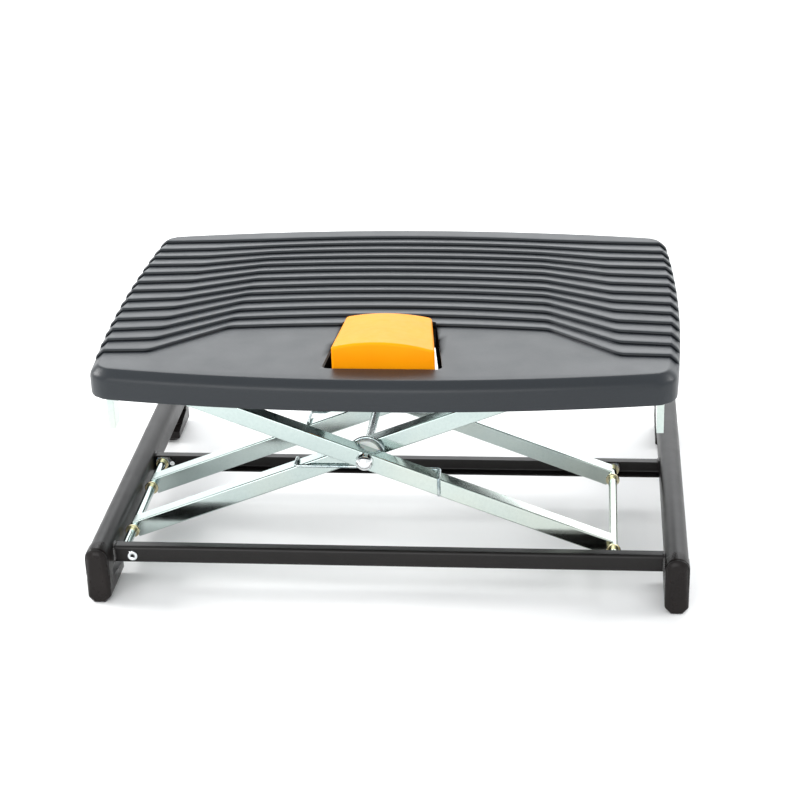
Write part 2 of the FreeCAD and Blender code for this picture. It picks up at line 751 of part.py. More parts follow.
def notch_edge(e):
    return (upright(e) and abs(e.BoundBox.XMin) < 60
            and e.BoundBox.ZMax > D.deck_thick.v - 0.1)


fillet(b, nf, Q.of(5.5), notch_edge, "notch_corners")
place(b, 0, 0, base_z)


# -------------------------------------------------- side angles of the tray
def side_angle(label, sign):
    b = body(label)
    x0, x1 = D.angle_inner_x, D.angle_inner_x + D.angle_wall
    half = D.rail_height / 2
    leg_s = sketch(b, "upright", "XZ_Plane")
    if sign > 0:
        outline(leg_s, [(x0, -half), (x1, -half), (x1, half), (x0, half)])
    else:
        outline(leg_s, [(-x1, -half), (-x0, -half), (-x0, half),
                        (-x1, half)])
    pad(b, leg_s, D.angle_length, "upright", reverse=True)
    start = D.rear_rail_y + 0.5 - D.angle_front_y
    shelf = sketch(b, "shelf", "XZ_Plane", -start)
    a, c = D.angle_inner_x - D.angle_leg, D.angle_inner_x + 0.5
    if sign > 0:
        outline(shelf, [(a, half - D.angle_wall), (c, half - D.angle_wall),
                        (c, half), (a, half)])
    else:
        outline(shelf, [(-c, half - D.angle_wall),
                        (-a, half - D.angle_wall), (-a, half), (-c, half)])
    pad(b, shelf, D.angle_length - start, "shelf", reverse=True)
    place(b, 0, D.angle_front_y, D.upper_axis_z)


side_angle("side_angle_left", -1)
side_angle("side_angle_right", 1)


# Side guides: a strip welded inside each side angle steps inward below the
# tray and ends in a thicker foot with one corner cut off.
def guide(label, sign):
    b = body(label)
    top = D.upper_axis_z + D.rail_height / 2
    a, c = D.guide_inner_x, D.guide_outer_x
    o1 = D.angle_inner_x
    o0 = D.angle_inner_x - 2.0
    pts = [(a, D.guide_tip_z), (c, D.guide_tip_z), (c, Q.of(178.0)),
           (o1, Q.of(188.0)), (o1, top), (o0, top), (o0, Q.of(189.0)),
           (c - 2, Q.of(180.0)), (a, Q.of(180.0))]
    if sign < 0:
        pts = [(-x, z) for (x, z) in reversed(pts)]
    s = sketch(b, "strip", "XZ_Plane")
    outline(s, pts)
    p = pad(b, s, D.guide_depth, "depth", reverse=True)
    c = sketch(b, "cut_corner", "YZ_Plane")
    dp, tip = D.guide_depth, D.guide_tip_z
    outline(c, [(dp - 5, tip - 1), (dp + 1, tip - 1), (dp + 1, tip + 6)])
    pocket(b, c, None, "cut_corner", both=True)
    place(b, 0, D.guide_front_y, 0)


guide("guide_stop_left", -1)
guide("guide_stop_right", 1)

# -------------------------------------- tray screws, up through the rails
screws = []
for i, (x, y) in enumerate(screw_places):
    head = cylinder_z("deck_screw_%d_head" % i, x, y, 202.9, 3.3, 3.3)
    stem = cylinder_z("deck_screw_%d_stem" % i, x, y, 205.0, 2.0, 9.0)
    screws.append(fuse("deck_screw_%d" % i, [head, stem]))
group("deck_screws", screws)
for label in ("upper_rail_front", "upper_rail_rear"):
    b = doc.getObject(label)
    hs = sketch(b, "screw_holes", "XY_Plane", Q.of(4.0))
    y = -149.0 - D.front_rail_y.v if "front" in label else (
        30.5 - D.rear_rail_y.v)
    circle(hs, Q.of(-110.0), Q.of(y), Q.of(2.2))
    circle(hs, Q.of(110.0), Q.of(y), Q.of(2.2))
    before = b.Shape.Volume
    f = pocket(b, hs, Q.of(6.0), "screw_holes", reverse=True)
    doc.recompute()
    if before - b.Shape.Volume < 20:
        f.Reversed = False
        doc.recompute()

# -------------------------------------------------------- mechanism bracket
# A folded tray under both upper rails carries the pedal pin and the lock.
b = body("mechanism_bracket")
s = sketch(b, "floor", "XY_Plane", D.tray_floor_z)
outline(s, [(D.tray_left, D.front_rail_y), (D.tray_right, D.front_rail_y),
            (D.tray_right, D.rear_rail_y), (D.tray_left, D.rear_rail_y)])
pad(b, s, D.tray_wall, "floor")
side_pts = [(-143.7, 191.0), (25.2, 191.0), (25.2, 203.0), (-32.0, 203.0),
            (-38.0, 209.5), (-74.0, 209.5), (-80.0, 203.0),
            (-143.7, 203.0)]
for nm, off in (("left_wall", D.tray_left),
                ("right_wall", D.tray_right - D.tray_wall)):
    s = sketch(b, nm, "YZ_Plane", off)
    outline(s, [(Q.of(y), Q.of(z)) for (y, z) in side_pts])
    pad(b, s, D.tray_wall, nm)
for nm, y in (("front_lug", D.bar_y - 8.0), ("rear_lug", D.bar_y + 6.0)):
    s = sketch(b, nm, "XZ_Plane", -(y + 2.0))
    outline(s, [(D.lever_x - 6, Q.of(191.0)), (D.lever_x + 6, Q.of(191.0)),
                (D.lever_x + 6, Q.of(204.5)), (D.lever_x - 6, Q.of(204.5))])
    pad(b, s, Q.of(2.0), nm)
s = sketch(b, "cross_bores", "YZ_Plane")
circle(s, D.pin_y, D.pin_z, D.pin_radius)
circle(s, D.bar_y, D.upper_axis_z, D.bar_radius + 0.5)
doc.recompute()
before = b.Shape.Volume
f = pocket(b, s, None, "cross_bores", both=True)
doc.recompute()
s = sketch(b, "lug_bores", "XZ_Plane")
circle(s, D.lever_x, D.upper_axis_z, D.trunnion_radius + D.running_gap)
f = pocket(b, s, None, "lug_bores", both=True)
place(b, 0, 0, 0)

node(cylinder_x("pedal_pin", D.tray_left - 5.5, D.pin_y, D.pin_z,
                D.pin_radius, Q.of(68.5)), "pedal_pin")

# lock bar: an eye on the upper sliding rod and a bar along the tray
eye = cylinder_y("lock_bar_eye", slide_x, D.bar_y - D.eye_width / 2,
                 D.upper_axis_z, D.eye_radius, D.eye_width)
bar = cylinder_x("lock_bar_shank", D.bar_left_x, D.bar_y, D.upper_axis_z,
                 D.bar_radius, slide_x - 5 - D.bar_left_x)
eye_bore = cylinder_y("lock_bar_bore", slide_x, D.bar_y - 20,
                      D.upper_axis_z, D.rod_radius + D.running_gap,
                      Q.of(40))
node(cut("lock_bar", fuse("lock_bar_blank", [eye, bar]), eye_bore),
     "lock_bar")

# lock lever: a plate that grips the bar when canted, on two trunnions, with
# a tail that passes under the pedal's push pin
half = D.lever_thick / 2
plate = block("lever_plate", D.lever_x - half, D.lever_x + half,
              D.bar_y - 5.5, D.bar_y + 5.5, Q.of(193.4),
              D.lever_tail_z + 1.8)
tail = block("lever_tail", Q.of(-9.0), D.lever_x + half, D.bar_y - 5.5,
             D.bar_y + 5.5, D.lever_tail_z, D.lever_tail_z + 1.8)
finger = block("lever_finger", Q.of(-9.0), Q.of(-1.0), D.bar_y - 43.0,
               D.bar_y - 5.0, D.lever_tail_z, D.lever_tail_z + 1.8)
pivot = cylinder_y("lever_trunnions", D.lever_x, D.bar_y - 8.2,
                   D.upper_axis_z, D.trunnion_radius, Q.of(16.4))
bore = cylinder_x("lever_bore_tool", D.lever_x - 5, D.bar_y,
                  D.upper_axis_z, D.lever_bore, Q.of(10))
node(cut("lock_lever", fuse("lever_blank", [plate, tail, finger, pivot]),
         bore), "lock_lever")


# return springs as closed coils of rings on a thin core line
def coil(label, x, y, z0, z1, radius, wire, turns):
    step = (z1 - z0 - 2 * wire) / turns
    helix = Part.makeHelix(step, step * turns, radius)
    path = Part.Wire(helix.Edges)
    e = path.Edges[0]
    prof = Part.Wire([Part.makeCircle(wire, Vector(radius, 0, 0),
                                      e.tangentAt(e.FirstParameter))])
    f = doc.addObject("Part::Feature", label)
    f.Shape = path.makePipeShell([prof], True, True)
    f.Placement = Placement(Vector(x, y, z0 + wire), Rotation())
    return node(f, label)


floor_top = D.tray_floor_z.v + D.tray_wall.v
coil("lock_spring", -5.0, -76.0, floor_top + 0.2, D.lever_tail_z.v - 0.2,
     4.0, 0.6, 6)
coil("pedal_spring", 1.5, -120.0, floor_top + 0.2, 231.2, 6.5, 0.9, 8)


# ------------------------------------------------------------------- pedal
# Crowned shell, wider and higher at the front, open below, hinged at the
# rear on a pin through its side walls.
b = body("pedal")


def pedal_section(name, y, xl, xr, zb, zt, sag):
    s = sketch(b, name, "XZ_Plane", -Q.of(y))
    rad = arc_radius((Q.of(xr) - xl) / 2, Q.of(sag))
    outline(s, [(Q.of(xl), Q.of(zb)), (Q.of(xr), Q.of(zb)),
                (Q.of(xr), Q.of(zt), 1, rad), (Q.of(xl), Q.of(zt))])
    return s


w = D.pedal_wall.v
front = pedal_section("front_section", D.pedal_front_y, -38.6, 47.4, 201.5,
                      234.7, 6.0)
rear = pedal_section("rear_section", D.pedal_rear_y, -35.0, 37.0, 201.5,
                     224.5, 4.6)
loft = b.newObject("PartDesign::AdditiveLoft", "pedal_shell")
loft.Profile = rear
loft.Sections = [(front, [""])]
loft.Ruled = True
doc.recompute()


def pedal_top_edge(e):
    bb = e.BoundBox
    rim = bb.ZMin > 224.0
    along = bb.YLength > 80
    front_arc = bb.YMax < D.pedal_front_y.v + 0.01
    return rim and (along or front_arc)


pf = fillet(b, loft, D.pedal_edge, pedal_top_edge, "edges")
fi = pedal_section("front_hollow", D.pedal_front_y + D.pedal_wall,
                   -38.6 + w, 47.4 - w, 195.0, 234.7 - w, 5.8)
ri = pedal_section("rear_hollow", D.pedal_rear_y - D.pedal_wall,
                   -35.0 + w, 37.0 - w, 195.0, 224.5 - w, 4.4)
sub = b.newObject("PartDesign::SubtractiveLoft", "pedal_hollow")
sub.Profile = ri
sub.Sections = [(fi, [""])]
sub.Ruled = True
doc.recompute()
# clearance over the front rail, and for the tray at the rear wall
s = sketch(b, "rail_relief", "YZ_Plane")
outline(s, [(Q.of(-156.6), Q.of(190.0)), (Q.of(-140.5), Q.of(190.0)),
            (Q.of(-140.5), Q.of(217.2)), (Q.of(-156.6), Q.of(217.2))])
pocket(b, s, None, "rail_relief", both=True)
inner = sketch(b, "rear_relief_wide", "XZ_Plane", Q.of(60.0))
outline(inner, [(Q.of(-32.4), Q.of(195.0)), (Q.of(34.4), Q.of(195.0)),
                (Q.of(34.4), Q.of(214.0)), (Q.of(-32.4), Q.of(214.0))])
doc.recompute()
before = b.Shape.Volume
rr = pocket(b, inner, Q.of(14.0), "rear_relief", reverse=False)
doc.recompute()
if before - b.Shape.Volume < 500:
    rr.Reversed = True
    doc.recompute()
hs = sketch(b, "pin_hole", "YZ_Plane")
circle(hs, D.pin_y, D.pin_z, D.pin_radius + D.running_gap)
pocket(b, hs, None, "pin_hole", both=True)
# push pin above the lever's finger
ps = sketch(b, "push_pin", "XY_Plane", D.lever_tail_z + 2.2)
circle(ps, Q.of(-5.0), Q.of(-91.0), Q.of(1.5))
pad(b, ps, Q.of(18.3), "push_pin")
place(b, 0, 0, 0)

# ------------------------------------------------------------ check, write
doc.recompute()
bad = [o.Name for o in doc.Objects
       if any(word in o.State for word in ("Invalid", "Error"))]
if bad:
    raise RuntimeError("not computed: " + ", ".join(bad))
labels = [n.Label for n in nodes]
if len(set(labels)) != len(labels):
    raise RuntimeError("labels repeat")
for n in nodes:
    shape = n.Shape
    if shape.isNull() or not shape.isValid():
        raise RuntimeError("bad shape: " + n.Label)
os.makedirs("parts", exist_ok=True)
for n in nodes:
    n.Shape.exportStep(os.path.join("parts", n.Label + ".step"))
    box = n.Shape.BoundBox
    print("%-22s %9.0f mm3  %d  x %.1f %.1f  y %.1f %.1f  z %.1f %.1f" % (
        n.Label, n.Shape.Volume, len(n.Shape.Solids), box.XMin, box.XMax,
        box.YMin, box.YMax, box.ZMin, box.ZMax))
print(len(nodes), "nodes")
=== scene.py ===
import bpy
import bmesh
import json
import math
import numpy as np
from mathutils import Vector, Matrix, noise


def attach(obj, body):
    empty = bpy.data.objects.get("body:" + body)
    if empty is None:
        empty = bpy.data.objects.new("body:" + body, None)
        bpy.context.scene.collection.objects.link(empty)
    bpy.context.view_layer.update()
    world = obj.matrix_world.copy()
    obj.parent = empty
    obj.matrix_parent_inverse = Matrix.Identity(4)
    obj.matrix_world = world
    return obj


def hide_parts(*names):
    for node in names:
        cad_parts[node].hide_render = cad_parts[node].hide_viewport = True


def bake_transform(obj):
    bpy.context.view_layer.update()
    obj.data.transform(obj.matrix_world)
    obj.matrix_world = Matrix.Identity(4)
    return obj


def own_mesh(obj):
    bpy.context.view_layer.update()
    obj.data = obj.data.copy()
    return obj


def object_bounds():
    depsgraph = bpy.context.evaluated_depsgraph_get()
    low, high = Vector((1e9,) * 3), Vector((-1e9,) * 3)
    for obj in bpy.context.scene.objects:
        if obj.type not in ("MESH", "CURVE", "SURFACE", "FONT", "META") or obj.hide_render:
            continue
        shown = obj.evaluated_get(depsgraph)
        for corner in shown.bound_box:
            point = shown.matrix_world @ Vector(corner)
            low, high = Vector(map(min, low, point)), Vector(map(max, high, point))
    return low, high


# Height-adjustable footrest.  Lengths in the mesh code are millimetres and
# are turned into metres when a mesh is made.
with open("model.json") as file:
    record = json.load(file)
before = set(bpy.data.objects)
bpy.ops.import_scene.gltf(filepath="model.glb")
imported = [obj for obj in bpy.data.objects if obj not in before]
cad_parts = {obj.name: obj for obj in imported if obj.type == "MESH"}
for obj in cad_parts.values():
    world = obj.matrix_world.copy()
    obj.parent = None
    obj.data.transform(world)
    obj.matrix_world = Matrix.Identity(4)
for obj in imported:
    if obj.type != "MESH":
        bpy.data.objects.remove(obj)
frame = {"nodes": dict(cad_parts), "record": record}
cad_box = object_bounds()
scene = bpy.context.scene
MM = 0.001


def plain(box):
    return [[float(v) for v in corner] for corner in box]


cad_box = plain(cad_box)
CX, CZ = -17.95915, 116.89888
TILT = math.radians(21.1266)


# ------------------------------------------------------------- mesh makers
def make(name, verts, faces, body=None, mat=None, sharp=38.0, smooth=True):
    me = bpy.data.meshes.new(name)
    me.from_pydata([tuple(float(c) * MM for c in v) for v in verts], [],
                   [tuple(f) for f in faces])
    me.validate()
    me.update()
    ob = bpy.data.objects.new(name, me)
    scene.collection.objects.link(ob)
    if smooth:
        me.shade_smooth()
        me.set_sharp_from_angle(angle=math.radians(sharp))
    if mat is not None:
        me.materials.append(mat)
    if body is not None:
        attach(ob, body)
    return ob


def settle(ob, sharp=38.0):
    """Recomputes normals after mesh edits, and the sharp edges."""
    me = ob.data
    bm = bmesh.new()
    bm.from_mesh(me)
    bmesh.ops.recalc_face_normals(bm, faces=bm.faces)
    bm.to_mesh(me)
    bm.free()
    me.shade_smooth()
    me.set_sharp_from_angle(angle=math.radians(sharp))


def frames_along(pts):
    pts = np.array(pts, float)
    d = np.gradient(pts, axis=0)
    d /= np.linalg.norm(d, axis=1)[:, None]
    up = np.array([0.0, 0.0, 1.0])
    if abs(d[0] @ up) > 0.9:
        up = np.array([0.0, 1.0, 0.0])
    u = np.cross(d[0], up)
    u /= np.linalg.norm(u)
    out = []
    for k in range(len(pts)):
        u = u - (u @ d[k]) * d[k]
        u /= np.linalg.norm(u)
        out.append((pts[k], u.copy(), np.cross(d[k], u)))
    return out


def tube(pts, radius, sides=14, round_end=0.35):
    """Closed tube along points; radius is a number or one per point."""
    fr = frames_along(pts)
    rad = np.broadcast_to(np.array(radius, float), (len(fr),))
    verts, faces = [], []
    rings = []
    dirs = np.gradient(np.array(pts, float), axis=0)
    dirs /= np.linalg.norm(dirs, axis=1)[:, None]
    seq = [(fr[0][0] - dirs[0] * 0.0, fr[0][1], fr[0][2],
            rad[0] * (1 - round_end))]
    seq.append((fr[0][0] + dirs[0] * rad[0] * round_end * 0.3, fr[0][1],
                fr[0][2], rad[0] * (1 - round_end * 0.3)))
    seq.append((fr[0][0] + dirs[0] * rad[0] * round_end, fr[0][1], fr[0][2],
                rad[0]))
    for k in range(1, len(fr) - 1):
        seq.append((fr[k][0], fr[k][1], fr[k][2], rad[k]))
    e, de = fr[-1], dirs[-1]
    seq.append((e[0] - de * rad[-1] * round_end, e[1], e[2], rad[-1]))
    seq.append((e[0] - de * rad[-1] * round_end * 0.3, e[1], e[2],
                rad[-1] * (1 - round_end * 0.3)))
    seq.append((e[0], e[1], e[2], rad[-1] * (1 - round_end)))
    for (c, u, v, r) in seq:
        ring = []
        for s in range(sides):
            a = 2 * math.pi * s / sides
            ring.append(len(verts))
            verts.append(c + r * (math.cos(a) * u + math.sin(a) * v))
        rings.append(ring)
    for a, b in zip(rings[:-1], rings[1:]):
        for s in range(sides):
            t = (s + 1) % sides
            faces.append((a[s], a[t], b[t], b[s]))
    faces.append(tuple(reversed(rings[0])))
    faces.append(tuple(rings[-1]))
    return verts, faces


def round_path(corners, radius, step=0.8):
    """Polyline through corners with each bend turned on an arc."""
    c = [np.array(p, float) for p in corners]
    out = [c[0]]
    for k in range(1, len(c) - 1):
        a, b = c[k - 1] - c[k], c[k + 1] - c[k]
        la, lb = np.linalg.norm(a), np.linalg.norm(b)
        a, b = a / la, b / lb
        cosang = np.clip(a @ b, -1, 1)
        ang = math.acos(cosang)
        if math.pi - ang < 0.02:
            out.append(c[k])
            continue
        t = min(radius / math.tan(ang / 2), la * 0.48, lb * 0.48)
        p, q = c[k] + a * t, c[k] + b * t
        n = 7
        for m in range(n + 1):
            s = m / n
            out.append((1 - s) ** 2 * p + 2 * s * (1 - s) * c[k] + s * s * q)
    out.append(c[-1])
    full = [out[0]]
    for p in out[1:]:
        d = np.linalg.norm(p - full[-1])
        if d < 1e-6:
            continue
        n = max(1, int(d / (step * 6)))
        for m in range(1, n + 1):
            full.append(full[-1] + (p - full[-1]) * (m / n) if m < n else p)
    return full


def lathe(profile, centre, axis="y", sides=48, turn=1.0):
    """Closed solid of revolution: profile is (radius, along axis)."""
    verts, faces, rings = [], [], []
    cx, cy, cz = centre
    for (r, h) in profile:
        if r < 1e-6:
            rings.append([len(verts)])
            p = {"y": (cx, cy + turn * h, cz), "z": (cx, cy, cz + turn * h),
                 "x": (cx + turn * h, cy, cz)}[axis]
            verts.append(p)
            continue
        ring = []
        for s in range(sides):
            a = 2 * math.pi * s / sides
            c, d = r * math.cos(a), r * math.sin(a)
            p = {"y": (cx + c, cy + turn * h, cz + d),
                 "z": (cx + c, cy + d, cz + turn * h),
                 "x": (cx + turn * h, cy + c, cz + d)}[axis]
            ring.append(len(verts))
            verts.append(p)
        rings.append(ring)
    for a, b in zip(rings[:-1], rings[1:]):
        if len(a) == 1 and len(b) == 1:
            continue
        for s in range(sides):
            t = (s + 1) % sides
            if len(a) == 1:
                faces.append((a[0], b[t], b[s]))
            elif len(b) == 1:
                faces.append((a[s], a[t], b[0]))
            else:
                faces.append((a[s], a[t], b[t], b[s]))
    return verts, faces


def joined(*parts):
    verts, faces = [], []
    for v, f in parts:
        n = len(verts)
        verts += [tuple(p) for p in v]
        faces += [tuple(i + n for i in face) for face in f]
    return verts, faces


def slab(x0, x1, y0, y1, z0, z1, edge=0.0):
    """A box with its upright and long edges broken by a small chamfer."""
    if edge <= 0:
        e = 0.01
    else:
        e = edge
    verts, faces = [], []
    loops = []
    for (z, k) in ((z0, e), (z0 + e, 0.0), (z1 - e, 0.0), (z1, e)):
        pts = [(x0 + k + e, y0 + k), (x1 - k - e, y0 + k),
               (x1 - k, y0 + k + e), (x1 - k, y1 - k - e),
               (x1 - k - e, y1 - k), (x0 + k + e, y1 - k),
               (x0 + k, y1 - k - e), (x0 + k, y0 + k + e)]
        loop = []
        for (x, y) in pts:
            loop.append(len(verts))
            verts.append((x, y, z))
        loops.append(loop)
    for a, b in zip(loops[:-1], loops[1:]):
        for s in range(8):
            t = (s + 1) % 8
            faces.append((a[s], a[t], b[t], b[s]))
    faces.append(tuple(reversed(loops[0])))
    faces.append(tuple(loops[-1]))
    return verts, faces


# --------------------------------------------------------------- materials
class Mat:
    """A principled material with helpers for procedural detail."""

    def __init__(self, name):
        self.m = bpy.data.materials.new(name)
        self.m.use_nodes = True
        self.nt = self.m.node_tree
        self.nt.nodes.clear()
        self.out = self.nt.nodes.new("ShaderNodeOutputMaterial")
        self.b = self.nt.nodes.new("ShaderNodeBsdfPrincipled")
        self.link(self.b.outputs[0], self.out.inputs[0])
        self.tc = self.nt.nodes.new("ShaderNodeTexCoord")
        self.height = None

    def link(self, a, b):
        self.nt.links.new(a, b)

    def set(self, **kw):
        for k, v in kw.items():
            self.b.inputs[k.replace("_", " ")].default_value = v

    def coords(self, stretch=None):
        if stretch is None:
            return self.tc.outputs["Object"]
        mp = self.nt.nodes.new("ShaderNodeMapping")
        mp.inputs["Scale"].default_value = stretch
        self.link(self.tc.outputs["Object"], mp.inputs["Vector"])
        return mp.outputs[0]

    def noise(self, scale, detail=3.0, rough=0.55, stretch=None, distort=0.0):
        n = self.nt.nodes.new("ShaderNodeTexNoise")
        n.inputs["Scale"].default_value = scale
        n.inputs["Detail"].default_value = detail
        n.inputs["Roughness"].default_value = rough
        n.inputs["Distortion"].default_value = distort
        self.link(self.coords(stretch), n.inputs["Vector"])
        return n.outputs["Fac"]

    def voronoi(self, scale, feature="F1", stretch=None):
        n = self.nt.nodes.new("ShaderNodeTexVoronoi")
        n.feature = feature
        n.inputs["Scale"].default_value = scale
        self.link(self.coords(stretch), n.inputs["Vector"])
        return n.outputs["Distance"]

    def ramp(self, fac, stops, interp="LINEAR"):
        r = self.nt.nodes.new("ShaderNodeValToRGB")
        r.color_ramp.interpolation = interp
        els = r.color_ramp.elements
        while len(els) > 1:
            els.remove(els[-1])
        for k, (pos, col) in enumerate(stops):
            e = els[0] if k == 0 else els.new(pos)
            e.position = pos
            if isinstance(col, (int, float)):
                col = (col, col, col)
            e.color = (col[0], col[1], col[2], 1.0)
        self.link(fac, r.inputs[0])
        return r.outputs[0]

    def mix(self, fac, a, b, mode="MIX"):
        n = self.nt.nodes.new("ShaderNodeMix")
        n.data_type = "RGBA"
        n.blend_type = mode
        if isinstance(fac, (int, float)):
            n.inputs[0].default_value = fac
        else:
            self.link(fac, n.inputs[0])
        for sock, v in ((n.inputs[6], a), (n.inputs[7], b)):
            if isinstance(v, tuple):
                sock.default_value = (v[0], v[1], v[2], 1.0)
            else:
                self.link(v, sock)
        return n.outputs[2]

    def maths(self, op, a, b=None, clamp=False):
        n = self.nt.nodes.new("ShaderNodeMath")
        n.operation = op
        n.use_clamp = clamp
        for sock, v in ((n.inputs[0], a), (n.inputs[1], b)):
            if v is None:
                continue
            if isinstance(v, (int, float)):
                sock.default_value = v
            else:
                self.link(v, sock)
        return n.outputs[0]

    def attr(self, name):
        n = self.nt.nodes.new("ShaderNodeAttribute")
        n.attribute_name = name
        return n.outputs["Fac"]

    def edge_wear(self, radius=0.0008):
        """1 on convex edges, 0 elsewhere, from the bevelled normal."""
        g = self.nt.nodes.new("ShaderNodeNewGeometry")
        bv = self.nt.nodes.new("ShaderNodeBevel")
        bv.samples = 4
        bv.inputs["Radius"].default_value = radius
        dp = self.nt.nodes.new("ShaderNodeVectorMath")
        dp.operation = "DOT_PRODUCT"
        self.link(g.outputs["Normal"], dp.inputs[0])
        self.link(bv.outputs[0], dp.inputs[1])
        return self.ramp(dp.outputs["Value"], [(0.86, 1.0), (0.985, 0.0)])

    def bump(self, height, distance, strength=1.0):
        n = self.nt.nodes.new("ShaderNodeBump")
        n.inputs["Strength"].default_value = strength
        n.inputs["Distance"].default_value = distance
        self.link(height, n.inputs["Height"])
        if self.height is not None:
            self.link(self.height, n.inputs["Normal"])
        self.height = n.outputs[0]
        self.link(self.height, self.b.inputs["Normal"])

    def colour(self, socket):
        self.link(socket, self.b.inputs["Base Color"])

    def rough(self, socket):
        self.link(socket, self.b.inputs["Roughness"])


def powder_coat():
    m = Mat("base_coat")
    cloud = m.noise(16.0, 4.0)
    col = m.ramp(cloud, [(0.3, (0.0050, 0.0043, 0.0041)),
                         (0.7, (0.0085, 0.0073, 0.0069))])
    speck = m.ramp(m.noise(900.0, 2.0), [(0.62, 0.0), (0.72, 1.0)])
    col = m.mix(m.maths("MULTIPLY", speck, 0.14), col, (0.05, 0.047, 0.045))
    wear = m.maths("MULTIPLY", m.edge_wear(0.0006),
                   m.ramp(m.noise(140.0, 3.0), [(0.52, 0.0), (0.68, 0.35)]))
    col = m.mix(wear, col, (0.05, 0.047, 0.045))
    m.colour(col)
    m.rough(m.ramp(m.noise(60.0, 4.0), [(0.25, 0.34), (0.75, 0.42)]))
    m.set(Specular_IOR_Level=0.27)
    m.bump(m.noise(520.0, 2.0, 0.4), 0.00006, 0.7)
    m.bump(m.noise(1900.0, 2.0, 0.5), 0.00002, 0.6)
    return m.m


def boot_plastic():
    m = Mat("boot_plastic")
    cloud = m.noise(35.0, 4.0)
    col = m.ramp(cloud, [(0.3, (0.0085, 0.0068, 0.0064)),
                         (0.7, (0.0130, 0.0105, 0.0098))])
    scuff = m.ramp(m.noise(240.0, 4.0, 0.6, stretch=(1.0, 0.25, 1.0)),
                   [(0.60, 0.0), (0.74, 1.0)])
    wear = m.maths("MULTIPLY", scuff, 0.18)
    col = m.mix(wear, col, (0.045, 0.041, 0.039))
    m.colour(col)
    m.rough(m.ramp(m.noise(90.0, 3.0), [(0.3, 0.24), (0.7, 0.34)]))
    m.set(Specular_IOR_Level=0.16)
    m.bump(m.noise(1500.0, 3.0, 0.6), 0.00005, 0.9)
    return m.m


def zinc(name, light=(0.55, 0.625, 0.595), dark=(0.43, 0.505, 0.49),
         warm=0.22, rough=(0.08, 0.18), wave=0.00035):
    m = Mat(name)
    # streaky tone along x, along the arms: partly the metal's own tone and partly a
    # painted reflection of long streaks
    streak_tone_and_reflection = m.noise(9.0, 3.0, 0.5, stretch=(0.35, 1.0, 1.0))
    col = m.ramp(streak_tone_and_reflection, [(0.36, dark), (0.62, light)])
    fine = m.noise(420.0, 4.0, 0.65)
    col = m.mix(0.22, col, m.ramp(fine, [(0.32, (0.60, 0.66, 0.68)),
                                         (0.62, (1.0, 1.0, 1.0))]),
                "MULTIPLY")
    spot = m.ramp(m.noise(150.0, 5.0, 0.75, distort=0.5),
                  [(0.66, 0.0), (0.75, 1.0)])
    col = m.mix(m.maths("MULTIPLY", spot, 0.35), col, (0.16, 0.19, 0.21))
    tint = m.ramp(m.noise(7.0, 2.0, 0.5), [(0.50, 0.0), (0.66, 1.0)])
    col = m.mix(m.maths("MULTIPLY", tint, warm), col, (0.74, 0.70, 0.54))
    wear = m.maths("MULTIPLY", m.edge_wear(0.0005), 0.30)
    col = m.mix(wear, col, (0.82, 0.83, 0.81))
    m.colour(col)
    m.set(Metallic=1.0)
    m.rough(m.ramp(m.noise(30.0, 4.0), [(0.28, rough[0]), (0.72, rough[1])]))
    m.bump(m.noise(20.0, 1.5, 0.4, stretch=(0.5, 1.0, 1.0)), wave, 0.7)
    m.bump(m.noise(700.0, 3.0, 0.6), 0.000012, 0.6)
    return m.m


def chrome():
    m = Mat("cap_chrome")
    col = m.ramp(m.noise(120.0, 3.0), [(0.3, (0.72, 0.74, 0.75)),
                                       (0.7, (0.86, 0.87, 0.87))])
    m.colour(col)
    m.set(Metallic=1.0)
    m.rough(m.ramp(m.noise(300.0, 3.0), [(0.3, 0.05), (0.7, 0.12)]))
    m.bump(m.noise(160.0, 2.0), 0.00004, 0.6)
    return m.m


def wire_steel():
    m = Mat("spring_steel")
    col = m.ramp(m.noise(80.0, 4.0), [(0.3, (0.16, 0.22, 0.24)),
                                      (0.55, (0.44, 0.50, 0.50)),
                                      (0.72, (0.70, 0.74, 0.72))])
    m.colour(col)
    m.set(Metallic=1.0)
    m.rough(m.ramp(m.noise(400.0, 3.0), [(0.3, 0.18), (0.7, 0.34)]))
    m.bump(m.noise(1500.0, 3.0, 0.6, stretch=(0.3, 1.0, 1.0)), 0.00002, 0.7)
    return m.m


def nylon():
    m = Mat("bush_plastic")
    col = m.ramp(m.noise(120.0, 3.0), [(0.3, (0.60, 0.62, 0.60)),
                                       (0.7, (0.74, 0.75, 0.72))])
    m.colour(col)
    m.rough(m.ramp(m.noise(200.0, 3.0), [(0.3, 0.38), (0.7, 0.52)]))
    m.set(Subsurface_Weight=0.15, Subsurface_Scale=0.004)
    m.bump(m.noise(1200.0, 3.0), 0.00003, 0.6)
    return m.m


